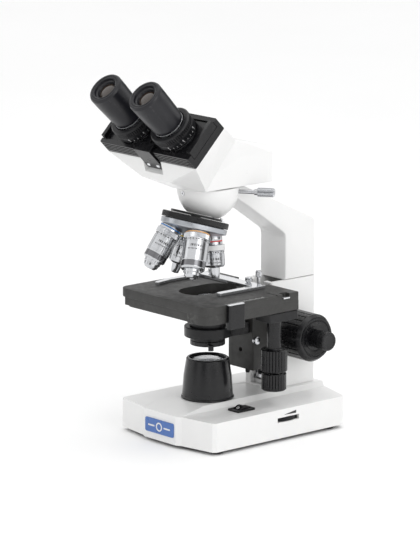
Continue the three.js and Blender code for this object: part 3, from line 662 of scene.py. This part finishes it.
def engraved(name, place, radius, rows, node, material):
    """Short dashes in rows round a barrel, in place of engraved figures.
    Each row is (height, dash height, first angle, last angle, count)."""
    bm = bmesh.new()
    for height, tall, first, last, count in rows:
        pitch = (last - first) / count
        for i in range(count):
            start = math.radians(first + pitch * i)
            stop = start + math.radians(pitch * (0.35 + 0.3 * ((i * 7) % 3) / 2))
            corners = []
            for angle, level in (
                (start, height), (stop, height), (stop, height + tall), (start, height + tall),
            ):
                corners.append((math.cos(angle), math.sin(angle), level))
            outer = [bm.verts.new((c * (radius + 0.06), s * (radius + 0.06), z)) for c, s, z in corners]
            inner = [bm.verts.new((c * (radius - 0.3), s * (radius - 0.3), z)) for c, s, z in corners]
            bm.faces.new(outer)
            bm.faces.new(inner[::-1])
            for a in range(4):
                b = (a + 1) % 4
                bm.faces.new((outer[a], inner[a], inner[b], outer[b]))
    fitted(show(name, bm, place), material, node, False)


def toward_camera(place):
    """The angle in degrees, in a local frame, that faces the camera."""
    back = place.to_3x3().inverted() @ CAMERA_BACK
    return math.degrees(math.atan2(back.y, back.x))


def make_objective(label, angle, ring_at, knurl):
    """ring_at is the height of the coloured ring, and knurl the low and high end of the grip."""
    node = f"objective_{label}"
    place = objective_frame(angle)
    high = extent(node, place)[1]
    sprung = f"{node}_nose" in nodes
    band = high.x
    body = band - 0.7
    length = extent(f"{node}_nose", place)[1].z if sprung else high.z
    nose = length - 8
    collar = body - (0.4 if sprung else 1.2)
    start, stop = knurl
    plain = label == "4x"
    profile = [
        (6.5, -3), (8, -3), (8, 0.3), (collar, 0.3), (collar, ring_at - 0.6, 0.05),
        (collar - 0.25, ring_at - 0.5, 0.05), (collar - 0.25, ring_at + 0.5, 0.05),
        (collar, ring_at + 0.6, 0.05), (collar, start - 0.4, 0.15), (band, start, 0.2),
        *grip(band, start + 0.4, stop - 0.4, 0.3), (band, stop, 0.2), (body, stop + 0.5, 0.15),
        (body, stop + 2.4, 0.1), (body - 0.3, stop + 2.6, 0.05), (body - 0.3, stop + 3.2, 0.05),
        (body, stop + 3.4, 0.1),
    ]
    if sprung:
        profile += [(body, nose - 8, 0.2), (body - 0.4, nose - 7.6, 0.2), (body - 0.4, nose - 1.4, 0.3),
                    (body - 1.6, nose, 0.4), (8.4, nose), (8.4, nose - 5), (6.5, nose - 5), (6.5, -3)]
    else:
        profile += [
            (body, nose - 4.6, 0.4), (body - 1.2, nose - 2.6, 0.4), (4.6, nose - 2),
            (4.4, nose + 2.6, 0.2), (3.6, length, 0.2), (2.5, length, 0.2), (2.5, nose, 0),
            (6.5, nose - 6), (6.5, -3),
        ]
    ribbed = None if plain else ribs(start, stop, 60, 0.45, 0.9)
    barrel = turned(f"{node}_turned", profile, place, 360, 0.2, ribbed)
    fitted(barrel, CHROME, node)
    color = BAND_COLORS[label]
    paint = coated(
        f"band {label}", color, tuple(c * 0.7 for c in color), 0.35, grain=0.5, depth=0.003, wear=0.2,
    )
    ring = closed_band(collar - 0.6, collar - 0.02, ring_at - 0.45, ring_at + 0.45)
    fitted(turned(f"{node}_band", ring, place, 72, 0.05), paint, node, False)
    if plain:
        white = closed_band(band - 0.4, band + 0.06, start + 0.2, stop - 0.2)
        fitted(turned(f"{node}_white_ring", white, place, 72, 0.1), MARKING, node, False)
    if sprung:
        sleeve = closed_band(body - 0.8, body - 0.34, nose - 7.2, nose - 1.8)
        fitted(turned(f"{node}_sleeve", sleeve, place, 72, 0.1), DARK_CHROME, node, False)
    facing = toward_camera(place)
    rows = [(stop + 1.0, 1.0, facing - 80, facing + 80, 12), (stop + 6.5, 2.2, facing - 34, facing + 30, 7),
            (stop + 10.5, 1.1, facing - 40, facing + 38, 12)]
    engraved(f"{node}_engraving", place, body, rows, node, INK)
    make_front_lens(node, place, length, sprung)


def make_front_lens(node, place, length, sprung):
    if sprung:
        low = length - 11
        tip = [
            (2, low), (8, low), (8, length - 5.2, 0.3), (7.3, length - 4.8, 0.2),
            (7.0, length - 2.4, 0.3), (5.2, length - 0.6, 0.3), (4.6, length, 0.3), (2.4, length, 0.2),
            (2, length - 0.6, 0.1), (2, low),
        ]
        fitted(turned(f"{node}_nose_turned", tip, place, 96, 0.2), CHROME, f"{node}_nose")
    owner = f"{node}_nose" if sprung else node
    size = 1.9 if sprung else 2.4
    lens = [(0, length - 2.4), (size, length - 2.4), (size, length - 0.9, 0.1), (0, length - 0.4)]
    fitted(turned(f"{node}_front_lens", lens, place, 32, 0.1), GLASS, owner, False)

# ---------------- head


def make_head():
    kept("head_housing", WHITE, 1.8, 14, whole=False)
    kept("head_collar", DULL)
    kept("head_prism", GLASS)
    frame_low, frame_high = extent("face_frame", FACE)
    kept("face_frame", DARK, 0.5)
    kept("centre_bracket", DARK, 0.35)
    front = frame_low.y
    for number, (x0, x1) in enumerate(((-frame_high.x + 2.5, -13), (13, frame_high.x - 2.5)), 1):
        for row in range(4):
            z = frame_low.z + 2.4 + row * 2.6
            bar = block(
                f"face_frame_rib_{number}_{row + 1}", FACE, x0, x1, front - 0.45, front + 0.4, z, z + 1.3,
                0.2, 0.15,
            )
            fitted(bar, DARK, "face_frame", False)
    flap = extent("centre_bracket", FACE)[0]
    tab = block("bracket_tab", FACE, -12.3, 12.3, flap.y + 0.4, flap.y + 2.1, 227.1, 237.8, 0.3, 0.2)
    fitted(tab, DARK, "centre_bracket", False)
    for number, x in enumerate((-6.5, 6.5), 1):
        place = shifted(FACE, x, flap.y + 0.3, flap.z + 3.6) @ FRONTWAYS
        head = [(0, 1.3), (0.9, 1.3), (1.9, 0.9, 0.3), (2.1, 0), (0, 0)]
        fitted(turned(f"bracket_screw_{number}", head, place, 28, 0.1), STEEL, "centre_bracket", False)


# Heights along an eyepiece in the FACE frame, and the row up the face that both eyepieces stand on.
EYE_ROW = 165.0
FLANGE_LOW, FLANGE_HIGH = 250.7, 252.6
SHOULDER = 267.8


def make_eyepiece(label, side):
    axis_x = joints["diopter_right_turn"]["pos_m"][0] / MM * side
    place = shifted(FACE, axis_x, EYE_ROW)
    kept(f"slide_plate_{label}", DARK, 0.4)
    tube_low, tube_high = extent(f"eyepiece_tube_{label}", place)
    tube = [
        (11.8, tube_low.z), (12.7, tube_low.z), (12.7, FLANGE_LOW), (17.6, FLANGE_LOW),
        (17.6, FLANGE_HIGH), (15, FLANGE_HIGH), (15, tube_high.z), (11.8, tube_high.z), (11.8, tube_low.z),
    ]
    fitted(turned(f"eyepiece_tube_{label}_turned", tube, place, 72), SATIN, f"eyepiece_tube_{label}")

    ring_low, ring_high = extent(f"diopter_ring_{label}", place)
    low, high, radius = ring_low.z, ring_high.z, ring_high.x
    ring = [
        (15.9, low), (radius - 0.5, low), (radius - 0.4, low + 5.6, 0.2), (radius - 0.9, low + 5.9, 0.1),
        (radius - 0.9, low + 6.4, 0.1), *grip(radius, low + 6.7, high - 1.5, 0.3),
        (radius - 1.2, high, 0.5), (15.9, high), (15.9, low),
    ]
    ribbed = ribs(low + 6.7, high - 1.5, 60, 0.8, 0.9)
    diopter = turned(f"diopter_ring_{label}_ribbed", ring, place, 576, 0.2, ribbed)
    fitted(diopter, PLASTIC, f"diopter_ring_{label}")
    facing = toward_camera(place)
    rows = [(low + 0.5, 2.0, facing - 46 + 11.5 * i, facing - 45 + 11.5 * i + 1.2, 1) for i in range(9)]
    rows += [(low + 2.6, 1.8, facing - 2, facing + 3, 1), (low + 2.6, 1.6, facing - 48, facing - 43, 1),
             (low + 2.6, 1.6, facing + 44, facing + 49, 1)]
    engraved(f"diopter_scale_{label}", place, radius - 0.45, rows, f"diopter_ring_{label}", MARKING)

    eye_low, eye_high = extent(f"eyepiece_{label}", place)
    start, top = eye_low.z, eye_high.z
    barrel = [
        (9.6, start), (11.5, start), (11.5, SHOULDER), (14.9, 268.2, 0.5), (15.4, 272, 0.4),
        (16.5, 297, 2), (16.6, top - 2.2, 0.6), (15.6, top - 0.2, 0.8), (14.0, top, 0.4),
        (13.5, top - 0.7, 0.1), (12.9, top - 0.7, 0.1), (12.5, top - 0.1, 0.3), (11.2, top - 0.6, 0.3),
        (10.6, top - 2.8, 0.3), (9.4, top - 3.4, 0.3), (8.6, top - 5.2, 0.2), (8, top - 6), (8, 292),
        (9.6, 289), (9.6, start),
    ]
    fitted(turned(f"eyepiece_{label}_turned", barrel, place, 96, 0.3), EYEPIECE_BLACK, f"eyepiece_{label}")
    rise = [
        (8.3 * math.cos(a), top - 5.4 + 2.2 * math.sin(a), 0)
        for a in [math.radians(9 * i) for i in range(1, 10)]
    ]
    lens = [(0, top - 8), (7.8, top - 8), (7.9, top - 5.6), *rise, (0, top - 3.2)]
    fitted(turned(f"eye_lens_{label}", lens, place, 72, 0.1), AMBER_GLASS, f"eyepiece_{label}", False)
    field = turned(f"field_lens_{label}", rod(7.9, top - 14.5, top - 12.5), place, 48, 0.1)
    fitted(field, AMBER_GLASS, f"eyepiece_{label}", False)

# ---------------- focusing


def make_focus_knobs():
    axis = joints["coarse_spin"]["pos_m"]
    for label, side in (("left", -1), ("right", 1)):
        place = placed_along_x(axis, side)
        high = extent(f"coarse_knob_{label}", place)[1]
        radius, start, end = high.x, 19.4, high.z
        drum = [
            (2.3, 15), (8.6, 15), (8.6, start), (radius - 1.6, start),
            *grip(radius, start + 1.2, end - 4.4, 0.4), (radius, end - 3.6, 0.3),
            (radius - 2.4, end - 0.2, 0.5), (radius - 3.2, end, 0.3), (17.8, end, 0.2),
            (17.3, end - 0.9, 0.1), (16.6, end - 0.9, 0.1), (16.2, end - 0.2, 0.2),
            (12.6, end - 0.7, 0.3), (11.4, end - 1.1, 0.3), (2.3, end - 1.2), (2.3, 15),
        ]
        grooves = ribs(start + 1.2, end - 4.4, 24, 0.9, 0.22)
        knob = turned(f"coarse_knob_{label}_fluted", drum, place, 576, 0.3, grooves)
        fitted(knob, KNOB_BLACK, f"coarse_knob_{label}")
        fine_low, fine_high = extent(f"fine_knob_{label}", place)
        size, tip = fine_high.x, fine_high.z
        fine = [
            (0, fine_low.z), (8.2, fine_low.z), (8.4, fine_low.z + 1, 0.3), (size, 60),
            *grip(size, 60.8, tip - 1.2, 0.3), (size - 0.9, tip, 0.4), (size - 2.6, tip, 0.2),
            (size - 3, tip - 0.5, 0.1), (0, tip - 0.5),
        ]
        grooves = ribs(60.8, tip - 1.2, 40, 0.35, 0.6)
        fluted = turned(f"fine_knob_{label}_fluted", fine, place, 320, 0.2, grooves)
        fitted(fluted, KNOB_BLACK, f"fine_knob_{label}")
    kept("fine_shaft", DULL)
    kept("coarse_pinion", BRASS)
    kept("focus_rack", BRASS)
    kept("fine_carriage", STEEL)


def placed_along_x(origin, side):
    """Z runs out along X to one side."""
    turn = Matrix(((0, side, 0), (0, 0, 1), (side, 0, 0))).transposed().to_4x4()
    return Matrix.Translation(origin) @ turn @ Matrix.Scale(MM, 4)

# ---------------- stage


def stadium(half, length, steps=24):
    """A slot with round ends, along Y."""
    points = []
    straight = length / 2 - half
    for end in (0, 1):
        for step in range(steps + 1):
            angle = math.pi * (end + step / steps)
            center = straight if end == 0 else -straight
            points.append(Vector((half * math.cos(angle), center + half * math.sin(angle))))
    return points


def make_stage():
    low, high = extent("stage_top")
    half, front, rear, top, bottom = high.x, low.y, high.y, high.z, low.z
    split = 130.0
    corner = 12.0
    outline = [(-half, front, corner), (half, front, corner), (half, rear, 1.2), (-half, rear, 1.2)]
    plate = slab("stage_top_plate", outline, STAND, split, top, 0, 0.7, steps=10)
    tools = [
        show("hole", slab_mesh(stadium(18, 60), split - 1, top + 1, 0.01), STAND),
        block("notch", STAND, -21, 21, 46, rear + 1, split - 1, top + 1, 0.2, 0.05),
        block("recess", STAND, half - 6, half + 1, 37, 46, top - 4.6, top + 1, 2.0, 0.05),
        block("groove_rear", STAND, half - 15, half + 1, 29.8, 31.2, top - 1.0, top + 1, 0.2, 0.05),
    ]
    combine(plate, tools)
    soften(plate, 0.4, 60)
    fitted(plate, STAGE_COAT, "stage_top")
    for label, x0, x1 in (("right", half - 7, half), ("left", -half, -half + 4)):
        bottom_edge = bottom if label == "right" else bottom + 2.5
        skirt = block(
            f"stage_skirt_{label}", STAND, x0, x1, front + corner + 2.5, rear, bottom_edge, split + 0.5,
            0.6, 0.5,
        )
        fitted(skirt, STAGE_COAT, "stage_top", False)
    lip = slab(
        "stage_skirt_corner", corner_strip(half, front, corner, 7), STAND, bottom, split + 0.5, 0.0, 0.5,
    )
    fitted(lip, STAGE_COAT, "stage_top", False)
    lower = block(
        "stage_front_panel", STAND, -half + 8, half - 22, front + 1.2, front + 7, bottom + 1.2,
        split + 0.2, 0.5, 0.4,
    )
    fitted(lower, STAGE_COAT, "stage_top", False)
    make_stage_scale(half, top)
    kept("stage_base", STAGE_COAT, 0.5)
    tab = block("stage_stop_tab", STAND, half - 3.6, half + 1.6, 37.6, 45.4, top - 4.4, top - 3.0, 0.8, 0.3)
    fitted(tab, STEEL, "stage_top", False)
    make_brackets()
    for node, drum in (("stage_knob_upper", 20.6), ("stage_knob_lower", 15.6)):
        make_stage_knob(node, drum)


def corner_strip(half, front, corner, width):
    """The plan of a wall that follows the rounded front right corner of the stage."""
    steps = 12
    centre = Vector((half - corner, front + corner))
    outer = [centre + Vector((math.cos(a), math.sin(a))) * corner
             for a in [math.radians(-90 + 90 * i / steps) for i in range(steps + 1)]]
    inner = [centre + Vector((math.cos(a), math.sin(a))) * (corner - width)
             for a in [math.radians(-90 * i / steps) for i in range(steps + 1)]]
    return [Vector((half - 26, front)), *outer, Vector((half, front + corner + 3)),
            Vector((half - width, front + corner + 3)), *inner, Vector((half - 26, front + width))]


def make_stage_scale(half, top):
    """Ticks of the front-to-back scale, along the right edge of the stage."""
    for number in range(31):
        y = -30.0 + number * 1.5
        long_tick = number % 5 == 0
        width = 3.2 if long_tick else 2.0
        tick = block(f"scale_tick_{number + 1}", STAND, half - 0.9 - width, half - 0.9, y - 0.16, y + 0.16,
                     top - 0.05, top + 0.06, 0.02, 0.02)
        fitted(tick, MARKING, "stage_top", False)


def make_brackets():
    low, high = extent("stage_side_bracket")
    outline = [(low.x, low.y, 1), (high.x, low.y, 3.2), (high.x, high.y, 3.2), (low.x, high.y, 1)]
    bracket = slab("stage_side_bracket_cast", outline, STAND, low.z, high.z - 0.6, 0, 0.5, steps=8)
    fitted(bracket, DARK, "stage_side_bracket")
    cap = [
        (low.x, low.y + 0.4, 1), (high.x - 0.4, low.y + 0.4, 3), (high.x - 0.4, high.y - 0.4, 3),
        (low.x, high.y - 0.4, 1),
    ]
    vernier = slab("vernier_plate", cap, STAND, high.z - 0.65, high.z - 0.05, 0, 0.2, steps=8)
    fitted(vernier, STEEL, "stage_side_bracket", False)
    low, high = extent("knob_bracket")
    outline = rectangle(low.x, high.x, low.y, high.y)
    body = slab("knob_bracket_cast", outline, STAND, low.z, high.z, 1.5, 0.6)
    x, y = knob_axis()
    combine(body, [turned("bore", rod(7.6, low.z - 5, high.z - 3), shifted(STAND, x, y), 48, 0)])
    fitted(body, BLACK, "knob_bracket")


def knob_axis():
    low, high = extent("stage_knob_upper")
    return (low.x + high.x) / 2, (low.y + high.y) / 2


def make_stage_knob(node, drum):
    low, high = extent(node)
    x, y = knob_axis()
    radius = (high.x - low.x) / 2
    bottom = low.z
    top = bottom + drum
    inner = 2.4 if node.endswith("upper") else 0
    shaft = 6.8 if node.endswith("upper") else 2.0
    if inner:
        start = [(inner, bottom), (radius - 0.8, bottom, 0.4)]
        finish = [(radius - 0.6, top + 0.3, 0.3), (shaft + 0.6, top + 0.4, 0.4), (shaft, top + 1.2, 0.3),
                  (shaft, high.z), (inner, high.z), (inner, bottom)]
    else:
        start = [(0, bottom), (radius - 1.2, bottom, 0.8)]
        finish = [(radius - 0.6, top + 0.8, 0.3), (shaft, top + 0.8), (shaft, high.z), (0, high.z)]
    profile = [*start, *grip(radius, bottom + 1, top, 0.4), *finish]
    grooves = ribs(bottom + 1, top, 26, 0.7, 0.34)
    knob = turned(f"{node}_fluted", profile, shifted(STAND, x, y), 416, 0.2, grooves)
    fitted(knob, KNOB_BLACK, node)


def make_slide_holder():
    screw_row = 38
    low, high = extent("slide_holder")
    base = low.z
    left = low.x
    angle_bar = [
        (left, 30, 1.5), (26.4, 30, 2), (26.4, -11, 0.5), (28, -14, 1), (33.0, -14, 1.5),
        (33.4, 34, 1), (33.4, 42, 1.5), (left, 42, 1.5),
    ]
    bar = slab("slide_holder_bar", angle_bar, STAND, base, base + 3, 0, 0.35)
    fitted(bar, STEEL, "slide_holder")
    for number, x in enumerate((-38, 14), 1):
        profile = [
            (0, base + 2), (2.2, base + 2), (2.2, base + 3.6, 0.2), (3.0, base + 4.2, 0.1),
            *grip(3.2, base + 4.4, base + 7.6, 0.3), (2.6, base + 8.1, 0.3), (0, base + 8.2),
        ]
        screw = turned(f"holder_thumb_screw_{number}", profile, shifted(STAND, x, screw_row), 144, 0.15,
                       ribs(base + 4.4, base + 7.6, 24, 0.25, 0.8))
        fitted(screw, CHROME, "slide_holder", False)
    top = high.z
    pin = [
        (0, base + 2), (1.5, base + 2), (1.5, top - 6.6), (2.7, top - 6, 0.3),
        *grip(2.8, top - 5.6, top - 1.2, 0.3), (2.2, top - 0.2, 0.4), (0, top),
    ]
    lever = turned(
        "holder_lever_pin", pin, shifted(STAND, 28, screw_row), 120, 0.15,
        ribs(top - 5.6, top - 1.2, 20, 0.25, 0.8),
    )
    fitted(lever, CHROME, "slide_holder", False)
    finger_low, finger_high = extent("spring_finger")
    blade = [
        (-49.2, 28.8, 1), (-50.6, 10, 12), (-51, -6, 12), (-47, -24, 1.5), (-44.5, -26, 1.5),
        (-41.6, -25, 1), (-45, -6, 12), (-44.4, 12, 12), (-44.6, 28.8, 1),
    ]
    finger = slab("spring_finger_blade", blade, STAND, finger_low.z, finger_high.z, 0, 0.3)
    fitted(finger, STEEL, "spring_finger")

# ---------------- carrier and condenser


def make_carrier():
    kept("stage_carrier", STAGE_COAT, 0.5)
    low, high = extent("stage_carrier")
    right = high.x
    side = placed_along_x((right * MM, AXIS_Y + 45 * MM, 85.7 * MM), 1)
    head = [(0, 1.6), (1.0, 1.6, 0.1), (1.0, 2.6, 0.2), (3.6, 2.2, 0.8), (4.1, 0.6, 0.3), (4.1, -1), (0, -1)]
    fitted(turned("carrier_screw", head, side, 40, 0.1), CHROME, "stage_carrier", False)
    nub = [(0, 53.4), (1.6, 53.6, 0.8), (2.2, 55, 0.4), (2.2, low.z + 1), (0, low.z + 1)]
    fitted(turned("carrier_stop_pin", nub, shifted(STAND, 8, 43), 28, 0.1), BLACK, "stage_carrier", False)


def make_condenser():
    kept("condenser_mount", BLACK, 0.5)
    body_low, body_high = extent("condenser_body")
    low, top, radius = body_low.z, body_high.z, body_high.x
    barrel = [
        (11, low), (radius - 0.6, low, 0.4), (radius, low + 1.2, 0.3), (radius, 112, 0.4), (14, 114, 0.5),
        (14, top - 5, 0.5), (12, top, 0.4), (9.4, top, 0.2), (9.4, top - 4), (11, top - 8), (11, low),
    ]
    fitted(turned("condenser_body_turned", barrel, STAND, 72), BLACK, "condenser_body")
    rim = [
        (9.5, top - 0.1), (11.9, top - 0.1), (11.9, top + 0.3, 0.1), (9.5, top + 0.3, 0.1),
        (9.5, top - 0.1),
    ]
    fitted(turned("condenser_rim", rim, STAND, 72, 0.05), SATIN, "condenser_body", False)
    lens_low, lens_high = extent("condenser_lens")
    lens = [
        (0, lens_low.z), (9.1, lens_low.z), (9.1, lens_high.z - 0.9, 0.2), (7.6, lens_high.z, 0.4),
        (0, lens_high.z + 0.3),
    ]
    fitted(turned("condenser_lens_ground", lens, STAND, 72), FROSTED, "condenser_lens")
    kept("iris_lever", PLASTIC, 0.3)
    mount_high = extent("condenser_mount")[1]
    ring_radius, ring_low, ring_high = mount_high.x, 94.5, mount_high.z
    ring = [
        (17.2, ring_low - 0.4), (ring_radius - 1.6, ring_low - 0.4, 0.5),
        (ring_radius, ring_low + 2.6, 0.4), (ring_radius, ring_high - 0.5, 0.3), (17.2, ring_high - 0.4),
        (17.2, ring_low - 0.4),
    ]
    fitted(turned("condenser_ring", ring, STAND, 96), BLACK, "condenser_mount", False)

# ---------------- camera, floor and light

# The view: azimuth and elevation of the line of sight in degrees, its distance in mm, and its lens.
VIEW = {"azimuth": 48.61, "elevation": 12.06, "roll": 0.19, "distance": 3316.3, "lens": 236.6}
AIM_SIDE, AIM_UP = -35.87, 145.95
FIT_ORIGIN = Vector((0, 0.051 + AXIS_Y, 0.003))


def view_axes():
    azimuth, elevation, roll = (math.radians(VIEW[key]) for key in ("azimuth", "elevation", "roll"))
    level = math.cos(elevation)
    back = Vector((math.sin(azimuth) * level, -math.cos(azimuth) * level, math.sin(elevation)))
    right = Vector((math.cos(azimuth), math.sin(azimuth), 0))
    up = back.cross(right)
    return right * math.cos(roll) + up * math.sin(roll), up * math.cos(roll) - right * math.sin(roll), back


def make_camera():
    right, up, back = view_axes()
    data = bpy.data.cameras.new("camera")
    data.lens = VIEW["lens"]
    data.sensor_width = 36
    data.clip_start, data.clip_end = 0.1, 50
    camera = bpy.data.objects.new("camera", data)
    scene.collection.objects.link(camera)
    place = (back * VIEW["distance"] + right * AIM_SIDE + up * AIM_UP) * MM + FIT_ORIGIN
    camera.matrix_world = Matrix.Translation(place) @ Matrix((right, up, back)).transposed().to_4x4()
    scene.camera = camera
    return back


def make_floor():
    bpy.ops.mesh.primitive_plane_add(size=14, location=(0, 0, -0.0005))
    floor = bpy.context.object
    floor.name = "floor"
    material, tree, shader = node_material("pale floor")
    where = tree.nodes.new("ShaderNodeTexCoord").outputs["Object"]
    tone = blended(
        tree, spread(tree, noise(tree, where, 3.0), 0.0, 1.0), (0.965, 0.965, 0.965), (0.98, 0.98, 0.98),
    )
    tree.links.new(tone, shader.inputs["Base Color"])
    shader.inputs["Roughness"].default_value = 0.8
    floor.data.materials.append(material)


def make_light(name, position, size, power, target=(0, 0, 0.17)):
    data = bpy.data.lights.new(name, "AREA")
    data.shape = "RECTANGLE"
    data.size, data.size_y = size
    data.energy = power
    light = bpy.data.objects.new(name, data)
    scene.collection.objects.link(light)
    light.location = position
    light.rotation_mode = "QUATERNION"
    light.rotation_quaternion = (Vector(target) - Vector(position)).to_track_quat("-Z", "Y")


# Dark stretches round the horizon, as (middle, half width) in shares of a turn from -X.
DARK_WALLS = ((0.06, 0.02), (0.2, 0.02), (0.33, 0.02), (0.47, 0.02), (0.62, 0.03), (0.8, 0.03), (0.93, 0.02))


def make_lights():
    world = bpy.data.worlds.new("studio")
    scene.world = world
    world.use_nodes = True
    tree = world.node_tree
    background = tree.nodes["Background"]
    background.inputs["Strength"].default_value = 1.06
    around = tree.nodes.new("ShaderNodeTexGradient")
    around.gradient_type = "RADIAL"
    tree.links.new(tree.nodes.new("ShaderNodeTexCoord").outputs["Generated"], around.inputs["Vector"])
    walls = tree.nodes.new("ShaderNodeValToRGB")
    ramp = walls.color_ramp
    ramp.elements[0].color = ramp.elements[1].color = (1, 1, 1, 1)
    for middle, half in DARK_WALLS:
        for place, level in ((middle - half - 0.025, 1.0), (middle - half, 0.1), (middle + half, 0.1),
                             (middle + half + 0.025, 1.0)):
            ramp.elements.new(place).color = (level, level, level, 1)
    tree.links.new(around.outputs["Color"], walls.inputs["Fac"])
    parts = tree.nodes.new("ShaderNodeSeparateXYZ")
    tree.links.new(around.inputs["Vector"].links[0].from_socket, parts.inputs["Vector"])
    above = spread(tree, parts.outputs["Z"], 1.0, 0.0, 0.25, 0.5)
    sky = blended(tree, above, (1, 1, 1), walls.outputs["Color"])
    tree.links.new(sky, background.inputs["Color"])
    make_light("key", (1.5, -0.2, 0.8), (0.9, 1.1), 6)
    make_light("fill", (-1.1, -1.5, 0.7), (0.9, 1.1), 1)
    make_light("top", (0.1, 0.2, 1.8), (1.0, 1.0), 4)


scene.view_settings.view_transform = "Standard"
CAMERA_BACK = make_camera()
make_floor()
make_lights()
make_base()
make_badge()
make_switch()
make_dimmer()
make_lamp()
make_stand()
make_lock_screw()
make_turret()
make_objective("4x", 0, 3.9, (7.4, 12.4))
make_objective("100x", 90, 1.2, (2.4, 6.8))
make_objective("40x", 180, 1.6, (4.4, 9.0))
make_objective("10x", 270, 3.9, (7.4, 12.4))
make_head()
for eye, eye_side in (("left", -1), ("right", 1)):
    make_eyepiece(eye, eye_side)
make_focus_knobs()
make_stage()
make_slide_holder()
make_carrier()
make_condenser()
